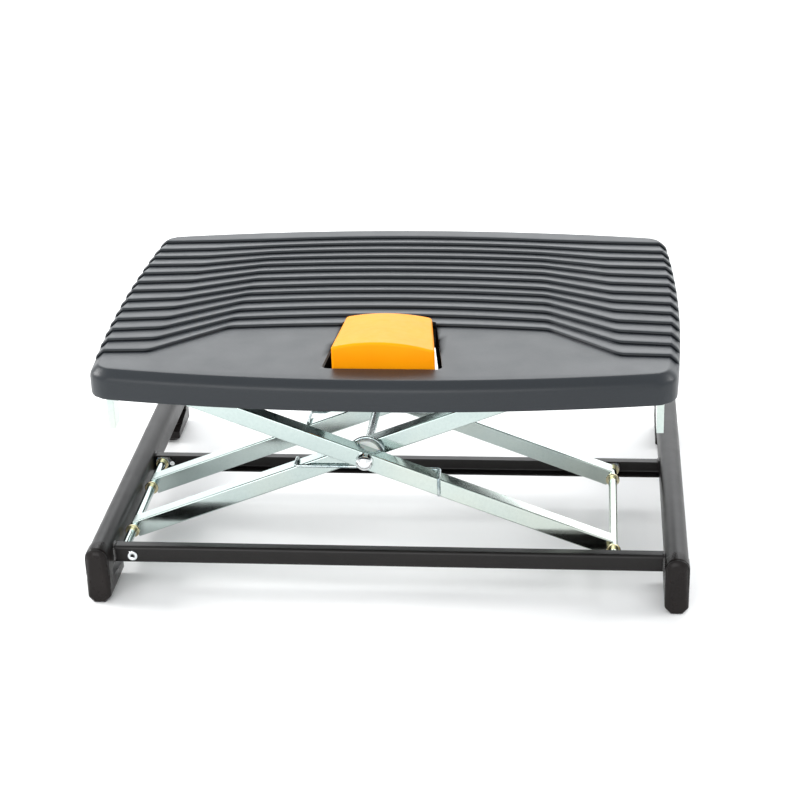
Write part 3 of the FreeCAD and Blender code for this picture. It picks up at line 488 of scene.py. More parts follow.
def deck_plastic():
    m = Mat("deck_plastic")
    cloud = m.noise(7.0, 4.0, 0.55)
    col = m.ramp(cloud, [(0.30, (0.0125, 0.0155, 0.0190)),
                         (0.70, (0.0150, 0.0185, 0.0225))])
    grain = m.noise(1150.0, 3.0, 0.65)
    col = m.mix(0.22, col, m.ramp(grain, [(0.35, (0.45, 0.46, 0.48)),
                                          (0.65, (1.3, 1.3, 1.3))]),
                "MULTIPLY")
    # painted shade: where the attribute is set, the colour goes towards near black in the
    # grooves, on the risers and on the opening's walls
    groove_painted_shade = m.attr("groove_painted_shade")
    col = m.mix(m.maths("MULTIPLY", groove_painted_shade, 0.80), col,
                (0.003, 0.0036, 0.0045))
    scuff = m.ramp(m.noise(90.0, 5.0, 0.7, stretch=(0.35, 1.0, 1.0),
                           distort=0.8), [(0.63, 0.0), (0.75, 1.0)])
    col = m.mix(m.maths("MULTIPLY", scuff, 0.07), col, (0.07, 0.075, 0.08))
    m.colour(col)
    m.rough(m.ramp(m.noise(40.0, 4.0), [(0.3, 0.35), (0.7, 0.41)]))
    # painted shade also turns the reflection down where the attribute is set
    shine = m.maths("SUBTRACT", 0.33, m.maths("MULTIPLY", groove_painted_shade, 0.33),
                    True)
    m.link(shine, m.b.inputs["Specular IOR Level"])
    m.bump(grain, 0.00005, 0.7)
    m.bump(m.noise(3000.0, 2.0, 0.5), 0.000015, 0.7)
    return m.m


def pedal_plastic():
    m = Mat("pedal_plastic")
    col = m.ramp(m.noise(24.0, 3.0), [(0.3, (0.88, 0.285, 0.0009)),
                                      (0.7, (0.88, 0.310, 0.0012))])
    hair = m.ramp(m.noise(70.0, 5.0, 0.7, stretch=(0.25, 1.0, 1.0)),
                  [(0.45, 0.0), (0.70, 1.0)])
    col = m.mix(m.maths("MULTIPLY", hair, 0.10), col, (0.90, 0.36, 0.015))
    m.colour(col)
    m.rough(m.ramp(m.noise(150.0, 3.0), [(0.3, 0.38), (0.7, 0.46)]))
    m.set(Specular_IOR_Level=0.08)
    m.bump(m.noise(900.0, 2.0, 0.5), 0.000010, 0.4)
    return m.m


def weld_metal():
    m = Mat("weld_bead")
    col = m.ramp(m.noise(260.0, 3.0), [(0.35, (0.010, 0.009, 0.009)),
                                       (0.62, (0.060, 0.057, 0.055))])
    m.colour(col)
    m.rough(m.ramp(m.noise(200.0, 3.0), [(0.3, 0.22), (0.7, 0.36)]))
    m.set(Specular_IOR_Level=0.6, Coat_Weight=0.4, Coat_Roughness=0.15)
    m.bump(m.noise(600.0, 3.0), 0.0001, 0.8)
    return m.m


MATS = {
    "base_coat": powder_coat(),
    "boot_plastic": boot_plastic(),
    "zinc_plate": zinc("zinc_plate"),
    "screw_zinc": zinc("screw_zinc", (0.92, 0.93, 0.93), (0.70, 0.73, 0.74),
                       0.1, (0.16, 0.28), 0.0001),
    "washer_zinc": zinc("washer_zinc", (0.80, 0.70, 0.40),
                        (0.52, 0.44, 0.26), 0.2, (0.18, 0.32), 0.0001),
    "cap_chrome": chrome(),
    "spring_steel": wire_steel(),
    "bush_plastic": nylon(),
    "deck_plastic": deck_plastic(),
    "pedal_plastic": pedal_plastic(),
}
WELD = weld_metal()

slot_of = {s["node"]: s["material_slot"] for s in frame["record"]["subparts"]}
for name, ob in frame["nodes"].items():
    mat = MATS[slot_of[name]]
    if not ob.material_slots:
        ob.data.materials.append(mat)
    for s in ob.material_slots:
        s.material = mat


# ------------------------------------------------------------ the tray top
# The outline is symmetric about x = XM and y = YM: bowed ends and sides with
# round corners.  w is the distance from YM.
YM, XM = -10.8, 1.6
HX, HW, R_CORNER = 250.6, 185.2, 21.0


def arc_radius(half, sag):
    return (half * half + sag * sag) / (2 * sag)


RF = arc_radius(243.1, 21.3)
RS = arc_radius(159.2, 6.9)
FW0 = HW - RF
SX0 = HX - RS


def corner_centre(r):
    x, w = 220.0, 140.0
    for _ in range(60):
        g1 = math.hypot(x, w - FW0) - (RF - r)
        g2 = math.hypot(x - SX0, w) - (RS - r)
        a = np.array([[x / math.hypot(x, w - FW0),
                       (w - FW0) / math.hypot(x, w - FW0)],
                      [(x - SX0) / math.hypot(x - SX0, w),
                       w / math.hypot(x - SX0, w)]])
        dx, dw = np.linalg.solve(a, [-g1, -g2])
        x, w = x + dx, w + dw
    return x, w


FX, FW = corner_centre(R_CORNER)
uF = np.array([FX, FW - FW0]) / math.hypot(FX, FW - FW0)
uS = np.array([FX - SX0, FW]) / math.hypot(FX - SX0, FW)
u45 = (uF + uS) / np.linalg.norm(uF + uS)


def side_point(w, d):
    """Right-hand side at height w, inset d: x and the outward normal."""
    r = R_CORNER - d
    w_t = FW + r * uS[1]
    if w <= w_t:
        x = SX0 + math.sqrt((RS - d) ** 2 - w * w)
        return x, (x - SX0) / (RS - d), w / (RS - d)
    x = FX + math.sqrt(max(r * r - (w - FW) ** 2, 0.0))
    return x, (x - FX) / r, (w - FW) / r


def end_point(x, d):
    r = R_CORNER - d
    x_t = FX + r * uF[0]
    if x <= x_t:
        w = FW0 + math.sqrt((RF - d) ** 2 - x * x)
        return w, x / (RF - d), (w - FW0) / (RF - d)
    w = FW + math.sqrt(max(r * r - (x - FX) ** 2, 0.0))
    return w, (x - FX) / r, (w - FW) / r


# riser lines: y at the middle, at the two bends and at the side, measured
# on the crest
SHIFT = 2.9
RISERS = [
    (144.0, 136.8, 131.6, 128.4), (127.0, 119.3, 110.2, 106.6),
    (110.0, 102.4, 90.2, 87.2), (93.0, 85.8, 69.6, 66.6),
    (76.0, 69.0, 49.6, 45.2), (59.0, 51.4, 28.3, 23.8),
    (41.0, 33.2, 6.7, 2.7), (23.0, 14.4, -14.2, -19.9),
    (6.0, -2.5, -36.0, -42.0), (-12.0, -21.0, -59.6, -64.5),
    (-31.0, -40.8, -82.3, -87.6), (-50.0, -60.0, -106.0, -110.5),
    (-71.0, -79.4, -132.0, -133.9)]
STEP = 2.35           # height of a riser
SMOOTH = 4.0          # half width over which a bend is rounded


def riser_line(k, x):
    """y of riser k at |x|, with both bends rounded."""
    y0, y1, y2, y3 = RISERS[k]
    f = k / 12.0
    b1 = 127.0 + 11.5 * f
    b2 = 186.0 + 13.0 * f
    xe = 241.0

    def raw(a):
        if a < b1:
            return y0 + (y1 - y0) * (a / b1) ** 2
        if a < b2:
            return y1 + (y2 - y1) * (a - b1) / (b2 - b1)
        return y2 + (y3 - y2) * min((a - b2) / (xe - b2), 1.15)
    a = abs(x)
    n = 9
    tot = 0.0
    for m in range(n):
        tot += raw(abs(a + SMOOTH * (2 * m / (n - 1) - 1)))
    return tot / n + SHIFT + 3.2 * (1.0 - f) ** 1.5


# (offset behind the riser line, depth below the crest, painted groove shade)
STEP_ROWS = [(-3.0, STEP - 0.05, 0.0), (-1.5, STEP, 0.0),
             (-0.75, STEP + 0.10, 0.3), (-0.25, STEP + 0.25, 0.9),
             (0.02, STEP - 0.1, 1.0), (0.08, 1.75, 0.8), (0.20, 1.20, 0.3),
             (0.50, 0.66, 0.0), (0.95, 0.30, 0.0), (1.55, 0.08, 0.0),
             (2.2, 0.0, 0.0)]
RIDGE = 8.6
TOP_Z = 219.8
PROFILE = [  # (inset, drop) from the ridge outward and down, then inside
    (7.9, 0.07), (7.2, 0.32), (6.4, 0.80), (5.3, 1.65), (4.1, 2.68),
    (2.95, 3.75), (1.95, 4.80), (1.15, 5.85), (0.58, 7.0), (0.22, 8.4),
    (0.04, 10.2), (0.0, 12.4), (0.0, 18.5), (0.0, 24.3), (0.22, 25.1),
    (0.62, 25.52), (1.1, 25.7), (2.3, 25.7), (2.8, 25.5), (3.05, 25.0),
    (3.2, 18.0), (3.6, 10.0), (4.6, 7.2), (6.4, 5.4), (9.2, 4.85)]


def deck_columns():
    knots = [0.0]
    x = 0.0
    while x < 239.0:
        near = (118 < x < 152) or (178 < x < 216)
        x += 2.6 if near else (4.6 if x > 216 else 6.6)
        knots.append(min(x, 241.0))
    if knots[-1] < 241.0:
        knots.append(241.0)
    half = [k / 241.0 for k in knots]
    return [-h for h in reversed(half[1:])] + half


def build_deck():
    cols = deck_columns()
    nc = len(cols)
    rows = []    # each: list of (x, y), list of drop, shade

    def line_row(k, dy, drop, shade):
        w_x = 240.0
        for _ in range(8):
            y_end = riser_line(k, w_x) + dy
            w_x = side_point(abs(y_end - YM), RIDGE)[0]
        pts = []
        for s in cols:
            x = XM + s * w_x
            pts.append((x, riser_line(k, x) + dy))
        painted_dim = []
        # painted shade for each point of the row, lessened along the bends where side
        # light falls on the risers
        f = k / 12.0
        for (x, y) in pts:
            a = (abs(x) - 127.0 - 11.5 * f) / 8.0
            b = (186.0 + 13.0 * f - abs(x)) / 8.0
            lit = max(0.0, min(1.0, a, b))
            painted_dim.append(shade * (1.0 - 0.85 * lit * f))
        for q in (0, -1):
            x_q = side_point(abs(pts[q][1] - YM), RIDGE)[0]
            pts[q] = (XM + math.copysign(x_q, pts[q][0]), pts[q][1])
        return (pts, [drop] * nc, painted_dim)

    def edge_rows(base, sign, ts, drop_of):
        """Rows from a base row to the front (-1) or rear (+1) outline."""
        out = []
        p45x = FX + (R_CORNER - RIDGE) * u45[0]
        p45w = FW + (R_CORNER - RIDGE) * u45[1]
        w0 = abs(base[-1][1] - YM)
        for t in ts:
            we = w0 + (p45w - w0) * t
            xe = side_point(we, RIDGE)[0] if t < 1 else p45x
            pts = []
            for j, s in enumerate(cols):
                fx = XM + s * p45x
                fw = end_point(abs(fx - XM), RIDGE)[0] if abs(s) < 1 else p45w
                fy = YM + sign * fw
                bx, by = base[j]
                x = bx + (fx - bx) * t
                y = by + (fy - by) * t
                q = -1 if s >= 0 else 0
                bq = math.copysign(base[q][0] - XM, 1.0)
                ex = bq + (p45x - bq) * t
                ey = base[q][1] + (YM + sign * p45w - base[q][1]) * t
                wq = abs(base[q][1] - YM)
                wq += (p45w - wq) * t
                xq = side_point(wq, RIDGE)[0] if t < 1 else p45x
                cxx, cyy = xq - ex, (YM + sign * wq) - ey
                wgt = abs(s) ** 7
                pts.append((x + math.copysign(cxx, s if s else 1) * wgt
                            if s else x, y + cyy * wgt))
            out.append((pts, [drop_of(t)] * nc, [0.0] * nc))
        return out

    risers = []
    for k in range(12, -1, -1):            # front to back
        base = [line_row(k, dy, drop, shade) for dy, drop, shade in STEP_ROWS]
        risers.append(base)
    seq = []
    front = edge_rows(risers[0][0][0], -1,
                      [0.06, 0.14, 0.24, 0.36, 0.48, 0.6, 0.72, 0.83, 0.92,
                       1.0], lambda t: STEP * (1 - t) ** 1.15)
    seq += list(reversed(front))
    for n, group in enumerate(risers):
        seq += group
        if n + 1 < len(risers):
            a, b = group[-1], risers[n + 1][0]
            for t in (0.33, 0.67):
                pts = [(p[0] + (q[0] - p[0]) * t, p[1] + (q[1] - p[1]) * t)
                       for p, q in zip(a[0], b[0])]
                y_end = pts[-1][1]
                x_end = side_point(abs(y_end - YM), RIDGE)[0]
                pts[-1] = (XM + x_end, y_end)
                y_end = pts[0][1]
                x_end = side_point(abs(y_end - YM), RIDGE)[0]
                pts[0] = (XM - x_end, y_end)
                drop = a[1][0] + (b[1][0] - a[1][0]) * t
                seq.append((pts, [drop] * nc, [0.0] * nc))
    seq += edge_rows(risers[-1][-1][0], 1, [0.2, 0.4, 0.6, 0.8, 1.0],
                     lambda t: 0.0)
    nr = len(seq)
    verts, faces, shade = [], [], []
    for (pts, drops, sh) in seq:
        for (x, y), dz, g in zip(pts, drops, sh):
            verts.append((x, y, TOP_Z - dz))
            shade.append(g)
    for i in range(nr - 1):
        for j in range(nc - 1):
            a = i * nc + j
            faces.append((a, a + 1, a + nc + 1, a + nc))
    # boundary, counter-clockwise from above
    loop = [j for j in range(nc)]
    loop += [i * nc + nc - 1 for i in range(1, nr)]
    loop += [(nr - 1) * nc + j for j in range(nc - 2, -1, -1)]
    loop += [i * nc for i in range(nr - 2, 0, -1)]
    info = []
    for v in loop:
        i, j = divmod(v, nc)
        x, y, z = verts[v]
        drop = TOP_Z - z
        sgx = 1.0 if x >= XM else -1.0
        sgy = 1.0 if y >= YM else -1.0
        corner = i in (0, nr - 1) and j in (0, nc - 1)
        if corner:
            n = u45
        elif i in (0, nr - 1):
            _, nx, nw = end_point(abs(x - XM), RIDGE)
            n = (nx, nw)
        else:
            _, nx, nw = side_point(abs(y - YM), RIDGE)
            n = (nx, nw)
        info.append((x, y, sgx * n[0], sgy * n[1], drop, shade[v]))
    prev = loop
    prof = [(RIDGE, 0.0)] + PROFILE
    for m in range(1, len(prof)):
        d, t = prof[m]
        if m < len(prof) - 1:
            od, ot = prof[m - 1][0] - prof[m + 1][0], prof[m + 1][1] - \
                prof[m - 1][1]
        else:
            od, ot = prof[m - 1][0] - d, t - prof[m - 1][1]
        phi = math.atan2(ot, od)
        fade = 1.0
        if t > 5.2 or d >= RIDGE:
            fade = max(0.0, 1.0 - (t - 5.2) / 4.4)
            fade = fade * fade * (3 - 2 * fade)
        if m > 12:
            fade = 0.0
        ring = []
        for (x, y, nx, ny, drop, sh) in info:
            px = x + nx * (RIDGE - d)
            py = y + ny * (RIDGE - d)
            pz = TOP_Z - t
            k = -drop * fade
            ring.append(len(verts))
            verts.append((px + k * math.sin(phi) * nx,
                          py + k * math.sin(phi) * ny,
                          pz + k * math.cos(phi)))
            # the painted shade fades out with the hooks over the edge
            shade.append(sh * fade)
        n = len(ring)
        for s in range(n):
            t2 = (s + 1) % n
            faces.append((ring[s], ring[t2], prev[t2], prev[s]))
        prev = ring
    faces.append(tuple(reversed(prev)))
    ob = make("tray_top", verts, faces)
    # painted shade kept as a point attribute for the deck material
    at = ob.data.attributes.new("groove_painted_shade", "FLOAT", "POINT")
    at.data.foreach_set("value", shade)
    return ob


def rounded_loop(corners, radii, n_arc=6, n_edge=1):
    """Closed rounded polygon, counter-clockwise: list of (x, y, nx, ny)."""
    out = []
    m = len(corners)
    pts = [np.array(c, float) for c in corners]
    arcs = []
    for k in range(m):
        p, q, r = pts[k - 1], pts[k], pts[(k + 1) % m]
        a = (p - q) / np.linalg.norm(p - q)
        b = (r - q) / np.linalg.norm(r - q)
        ang = math.acos(np.clip(a @ b, -1, 1))
        t = radii[k] / math.tan(ang / 2)
        bis = (a + b) / np.linalg.norm(a + b)
        c = q + bis * radii[k] / math.sin(ang / 2)
        arcs.append((q + a * t, q + b * t, c, radii[k]))
    for k in range(m):
        s, e, c, rad = arcs[k]
        a0 = math.atan2(*(s - c)[::-1])
        a1 = math.atan2(*(e - c)[::-1])
        while a1 < a0:
            a1 += 2 * math.pi
        for i in range(n_arc + 1):
            a = a0 + (a1 - a0) * i / n_arc
            out.append((c[0] + rad * math.cos(a), c[1] + rad * math.sin(a),
                        math.cos(a), math.sin(a)))
        nxt = arcs[(k + 1) % m][0]
        nrm = (math.cos(a1), math.sin(a1))
        for i in range(1, n_edge):
            f = i / n_edge
            p = e + (nxt - e) * f
            out.append((p[0], p[1], nrm[0], nrm[1]))
    return out


def prism(loop, z0, z1):
    n = len(loop)
    verts = [(p[0], p[1], z0) for p in loop] + [(p[0], p[1], z1)
                                               for p in loop]
    faces = [tuple(reversed(range(n))), tuple(range(n, 2 * n))]
    for s in range(n):
        t = (s + 1) % n
        faces.append((s, t, n + t, n + s))
    return verts, faces


N_LEFT, N_RIGHT = -39.6, 41.0          # the opening's rear corners
NOTCH = [(-46.5, -165.0), (54.2, -165.0), (N_RIGHT, -61.5),
         (N_LEFT, -61.5)]
N_R = 5.5


def notch_lip():
    """Lip hanging round the opening, a hair outside the cut wall."""
    inner = rounded_loop([(-46.55, -165.05), (54.25, -165.05),
                          (N_RIGHT + 0.05, -61.45), (N_LEFT - 0.05, -61.45)],
                         [N_R + 0.05] * 4, 6)
    outer = rounded_loop([(-48.9, -167.4), (56.6, -167.4),
                          (N_RIGHT + 2.4, -59.1), (N_LEFT - 2.4, -59.1)],
                         [N_R + 2.4] * 4, 6)
    n = len(inner)
    verts, faces = [], []
    loops = []
    for lp, z in ((outer, 215.6), (outer, 212.9), ([
            (0.92 * a[0] + 0.08 * b[0], 0.92 * a[1] + 0.08 * b[1])
            for a, b in zip(outer, inner)], 212.62), ([
                (0.15 * a[0] + 0.85 * b[0], 0.15 * a[1] + 0.85 * b[1])
                for a, b in zip(outer, inner)], 212.62), (inner, 212.95),
            (inner, 215.6)):
        loops.append(list(range(len(verts), len(verts) + n)))
        verts += [(p[0], p[1], z) for p in lp]
    loops.append(loops[0])
    for a, b in zip(loops[:-1], loops[1:]):
        for s in range(n):
            t = (s + 1) % n
            faces.append((a[s], b[s], b[t], a[t]))
    return verts, faces


def side_at(y, sign):
    """x of the opening's left (-1) or right (1) edge."""
    f = (y + 165.0) / 103.5
    return (-46.5 + (N_LEFT + 46.5) * f if sign < 0
            else 54.2 + (N_RIGHT - 54.2) * f)


def cheek(sign, y0, y1, z0, roof):
    """Wall beside the pedal, along the opening's tapered edge."""
    verts, faces, loops = [], [], []
    e = 0.35
    for (z, k) in ((z0, e), (z0 + e, 0.0), (roof, 0.0)):
        loop = []
        lean = (0.12 if sign > 0 else 0.05) * (roof - z)
        for (y, off) in ((y0, 0.03), (y0, 2.4), (y1, 2.4), (y1, 0.03)):
            inset = k if off > 1 else -k
            yy = y + (k if y == y0 else -k)
            lower = lean if off < 1 else 0.0
            x = side_at(y, sign) + sign * (off - inset - lower)
            loop.append(len(verts))
            verts.append((x, yy, z))
        loops.append(loop if sign > 0 else list(reversed(loop)))
    for a, b in zip(loops[:-1], loops[1:]):
        for s in range(4):
            t = (s + 1) % 4
            faces.append((a[s], a[t], b[t], b[s]))
    faces.append(tuple(reversed(loops[0])))
    faces.append(tuple(loops[-1]))
    return verts, faces


def underside():
    """Ribs, screw bosses and the opening's lip, sunk into the ceiling."""
    roof = 215.7
    parts = []
    for sign in (-1, 1):
        parts.append(cheek(sign, -159.0, -140.98, 209.4, roof))
        parts.append(cheek(sign, -141.0, -72.0, 200.0, roof))
        parts.append(cheek(sign, -72.5, -66.5, 207.0, roof))
    parts.append(slab(35.8, 44.6, -61.2, -59.4, 194.0, roof, 0.35))
    for x in (-155.0, -68.0, 68.0, 155.0):
        y0 = -176.0 if abs(x) < 150 else -170.0
        y1 = 144.0 if abs(x) < 150 else 138.0
        parts.append(slab(x - 1.2, x + 1.2, y0, y1, 209.6, roof, 0.35))
    parts.append(slab(-224.0, 224.0, 90.8, 93.2, 207.95, roof, 0.35))
    for y in (-149.0, 30.5):
        for (a, b) in ((-215.0, -72.0), (72.0, 215.0)):
            parts.append(slab(a, b, y - 1.2, y + 1.2, 207.95, roof, 0.35))
    for x in (-110.0, 110.0):
        for y in (-149.0, 30.5):
            parts.append(lathe([(2.1, 0.0), (4.6, 0.0), (5.0, 0.4),
                                (5.05, 7.7), (2.1, 7.7), (2.1, 0.0)],
                               (x, y, 207.97), "z", 28))
    parts.append(notch_lip())
    return joined(*parts)


deck = build_deck()
cut_v, cut_f = prism(rounded_loop(NOTCH, [N_R] * 4, 6), 190.0, 240.0)
cutter = make("notch_cutter", cut_v, cut_f, smooth=False)
mod = deck.modifiers.new("notch", "BOOLEAN")
mod.object = cutter
mod.operation = "DIFFERENCE"
mod.solver = "EXACT"
dg = bpy.context.evaluated_depsgraph_get()
cut_mesh = bpy.data.meshes.new_from_object(deck.evaluated_get(dg))
deck.modifiers.clear()
old = deck.data
deck.data = cut_mesh
bpy.data.meshes.remove(old)
bpy.data.objects.remove(cutter)

# round the rim of the opening
bm = bmesh.new()
bm.from_mesh(deck.data)
rim = []
for e in bm.edges:
    if len(e.link_faces) != 2:
        continue
    zs = [v.co.z for v in e.verts]
    if min(zs) < 0.2160:
        continue
    cxy = (e.verts[0].co + e.verts[1].co) / 2
    if not (-0.0475 < cxy.x < 0.0552 and -0.1660 < cxy.y < -0.0605):
        continue
    n0, n1 = (f.normal for f in e.link_faces)
    if (abs(n0.z) < 0.2 and n1.z > 0.75) or (abs(n1.z) < 0.2
                                            and n0.z > 0.75):
        rim.append(e)
if rim:
    bmesh.ops.bevel(bm, geom=rim, offset=0.0015, segments=4, profile=0.5,
                    affect="EDGES", clamp_overlap=True)
bm.to_mesh(deck.data)
bm.free()

# join the underside
uv, uf = underside()
under = make("tray_under", uv, uf)
bm = bmesh.new()
bm.from_mesh(under.data)
bmesh.ops.remove_doubles(bm, verts=bm.verts, dist=1e-7)
bm.to_mesh(under.data)
bm.free()
bm = bmesh.new()
bm.from_mesh(deck.data)
bm.from_mesh(under.data)
bm.to_mesh(deck.data)
bm.free()
bpy.data.objects.remove(under)

# painted shade: the opening's walls, which lie in the pedal's shade, are marked dark in
# the attribute
layer = deck.data.attributes.get("groove_painted_shade")
if layer is None:
    layer = deck.data.attributes.new("groove_painted_shade", "FLOAT", "POINT")
for k, v in enumerate(deck.data.vertices):
    x, y, z = (c / MM for c in v.co)
    if -167.0 < y < -59.0 and 193.0 < z < 218.8 and \
            side_at(y, -1) - 1.2 < x < side_at(y, 1) + 1.2:
        layer.data[k].value = 1.0
deck.data.shade_smooth()
deck.data.set_sharp_from_angle(angle=math.radians(40))
deck.data.materials.clear()
deck.data.materials.append(MATS["deck_plastic"])
deck.name = "tray"
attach(deck, "platform")
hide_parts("deck")


# ------------------------------------------------------------------- pedal
P_FRONT, P_REAR = -160.0, -64.5


def pedal_z(x, y):
    t = (P_REAR - y) / (P_REAR - P_FRONT)
    t = min(max(t, -0.05), 1.05)
    xl, xr = -35.0 - 3.6 * t, 37.0 + 10.4 * t
    mid, half = (xl + xr) / 2, (xr - xl) / 2
    edge = 224.5 + 10.2 * t
    sag = 3.7 + 2.1 * t
    u = max(-1.05, min((x - mid) / half, 1.05))
    return edge + sag * (1 - u * u) - (0.5 + 0.8 * t) * u


def pedal_bottom(x, y, nx, ny):
    return 201.5


def subtract(ob, part):
    """Exact boolean cut of one mesh by another, applied at once."""
    tool = make("cutting_tool", part[0], part[1], smooth=False)
    bm = bmesh.new()
    bm.from_mesh(tool.data)
    bmesh.ops.recalc_face_normals(bm, faces=bm.faces)
    bm.to_mesh(tool.data)
    bm.free()
    m = ob.modifiers.new("cut", "BOOLEAN")
    m.object = tool
    m.operation = "DIFFERENCE"
    m.solver = "EXACT"
    dg = bpy.context.evaluated_depsgraph_get()
    done = bpy.data.meshes.new_from_object(ob.evaluated_get(dg))
    ob.modifiers.clear()
    old = ob.data
    ob.data = done
    bpy.data.meshes.remove(old)
    bpy.data.objects.remove(tool)


def build_pedal():
    r = 2.4
    corners = [(-38.6, P_FRONT), (47.6, P_FRONT), (37.8, P_REAR),
               (-36.6, P_REAR)]
    n_arc, n_edge = 8, 18
    full = rounded_loop(corners, [3.2, 3.2, 4.4, 4.4], n_arc, n_edge)
    half = n_arc // 2
    per = n_arc + n_edge              # points from one corner to the next
    # inset loop at the start of the shoulder
    inset = [(p[0] - p[2] * r, p[1] - p[3] * r, p[2], p[3]) for p in full]
    total = len(inset)
    start = half                      # middle of the first corner's arc
    side = [[inset[(start + k * per + i) % total] for i in range(per + 1)]
            for k in range(4)]        # front, right, rear, left
    n = per + 1
    front, right = side[0], side[1]
    rear = list(reversed(side[2]))
    left = list(reversed(side[3]))
    verts, faces = [], []
    for i in range(n):                # rows front to rear
        v = i / (n - 1)
        for j in range(n):
            u = j / (n - 1)
            p = []
            for c in (0, 1):
                s = (1 - v) * front[j][c] + v * rear[j][c] + \
                    (1 - u) * left[i][c] + u * right[i][c] - \
                    ((1 - u) * (1 - v) * front[0][c] + u * (1 - v)
                     * front[-1][c] + (1 - u) * v * rear[0][c]
                     + u * v * rear[-1][c])
                p.append(s)
            verts.append((p[0], p[1], pedal_z(p[0], p[1])))
    for i in range(n - 1):
        for j in range(n - 1):
            a = i * n + j
            faces.append((a, a + 1, a + n + 1, a + n))
    loop = [j for j in range(n)] + [i * n + n - 1 for i in range(1, n)]
    loop += [(n - 1) * n + j for j in range(n - 2, -1, -1)]
    loop += [i * n for i in range(n - 2, 0, -1)]
    pts = [inset[(start + k) % total] for k in range(total)]
    base_z = [pedal_z(p[0], p[1]) for p in pts]
    prev = loop
    prof = []
    for a in (18, 36, 54, 72, 90):
        a = math.radians(a)
        prof.append((r - r * math.sin(a), r * (1 - math.cos(a)), None))
    prof += [(0.0, None, 0.25), (0.0, None, 0.6), (0.0, None, 0.97),
             (0.25, None, 1.0), (2.0, None, 1.0), (2.35, None, 0.97),
             (2.5, None, 0.5), (2.5, None, 0.12), (2.6, 3.6, None),
             (3.1, 2.75, None), (4.0, 2.5, None)]
    for (d, t, f) in prof:
        ring = []
        for (x, y, nx, ny), zt in zip(pts, base_z):
            px, py = x + nx * (r - d), y + ny * (r - d)
            if t is not None:
                pz = zt - t
            else:
                lo = pedal_bottom(px, py, nx, ny)
                hi = zt - r
                pz = hi + (lo - hi) * f
            ring.append(len(verts))
            verts.append((px, py, pz))
        m = len(ring)
        for s in range(m):
            t2 = (s + 1) % m
            faces.append((ring[s], ring[t2], prev[t2], prev[s]))
        prev = ring
    # ceiling: same grid below the top
    k0 = len(verts)
    inner = [(verts[v][0], verts[v][1]) for v in prev]
    idx = {}
    for q, v in enumerate(loop):
        idx[v] = prev[q]
    cen = np.array([4.0, -107.0])
    for i in range(1, n - 1):
        for j in range(1, n - 1):
            v = i * n + j
            x, y, z = verts[v]
            sx = cen[0] + (x - cen[0]) * 0.955
            sy = cen[1] + (y - cen[1]) * 0.96
            idx[v] = len(verts)
            verts.append((sx, sy, pedal_z(sx, sy) - 2.5))
    for i in range(n - 1):
        for j in range(n - 1):
            a = i * n + j
            faces.append((idx[a + n], idx[a + n + 1], idx[a + 1], idx[a]))
    pin = lathe([(0.0, 0.0), (1.1, 0.0), (1.5, 0.4), (1.5, 16.5),
                 (0.0, 16.5)], (-5.0, -91.0, 212.5), "z", 20)
    shell = make("foot_pedal", verts, faces, None, MATS["pedal_plastic"],
                 sharp=50)
    settle(shell, 50)
    # clear of the rail below, of the tray's rear edge and of the hinge pin
    subtract(shell, slab(-60.0, 60.0, -156.6, -140.5, 190.0, 217.2))
    subtract(shell, slab(-32.4, 34.4, -74.0, -55.0, 190.0, 214.0))
    subtract(shell, lathe([(0.0, -50.0), (2.7, -50.0), (2.7, 50.0),
                           (0.0, 50.0)], (0.0, -66.0, 205.0), "x", 28))
    pv = make("push_pin", pin[0], pin[1])
    bm = bmesh.new()
    bm.from_mesh(shell.data)
    bm.from_mesh(pv.data)
    bm.to_mesh(shell.data)
    bm.free()
    bpy.data.objects.remove(pv)
    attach(shell, "pedal")
    return shell


pedal = build_pedal()
settle(pedal, 50)
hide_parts("pedal")


# --------------------------------------------------------- torsion springs
def spring(name, y_right, y_left, right_over, right_drop, left_over,
           left_drop):
    mean, wire = 14.5, 1.45
    z = CZ - mean
    rise = 7.75 / math.cos(TILT)
    run = (CZ + rise - (z - wire - 0.35)) / math.tan(TILT)
    xr, xl = CX + run, CX - run
    right = round_path([(xr, right_over, z - right_drop),
                        (xr, right_over, z), (xr, y_right, z),
                        (CX, y_right, z)], 3.2)
    left = round_path([(CX, y_left, z), (xl, y_left, z),
                       (xl, left_over, z), (xl, left_over, z - left_drop)],
                      3.2)
    coil = []
    n = 56
    for k in range(1, n):
        a = 2 * math.pi * k / n
        s = k / n
        s = s * s * (3 - 2 * s)
        coil.append(np.array([CX - mean * math.sin(a),
                              y_right + (y_left - y_right) * s,
                              CZ - mean * math.cos(a)]))
    path = right + coil + left
    v, f = tube(path, wire, 14)
    ob = make(name, v, f, None, MATS["spring_steel"], sharp=60)
    return ob


WIRE = 1.45
yr = -130.3 + 14.0 + WIRE + 0.2
yl = -109.8 - WIRE - 0.2
front_spring = spring("spring_front", yr, yl, -130.3 - WIRE - 0.3, 17.0,
                      -109.8 + 14.0 + WIRE + 0.3, 6.0)
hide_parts("torsion_spring_front")
yr = 4.4 - WIRE - 0.2
rear_spring = spring("spring_rear", yr, yr - 3.2, 4.4 + 14.0 + WIRE + 0.3,
                     6.0, -25.7 - WIRE - 0.3, 17.0)
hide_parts("torsion_spring_rear")
for ob in (front_spring, rear_spring):
    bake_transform(ob)


def even_normals(ob):
    """Large faces stay flat and the small ones between them turn."""
    mod = ob.modifiers.new("even", "WEIGHTED_NORMAL")
    mod.mode = "FACE_AREA"
    mod.weight = 90
    mod.keep_sharp = True
    dg = bpy.context.evaluated_depsgraph_get()
    done = bpy.data.meshes.new_from_object(
        ob.evaluated_get(dg), preserve_all_data_layers=True, depsgraph=dg)
    ob.modifiers.clear()
    old = ob.data
    ob.data = done
    bpy.data.meshes.remove(old)


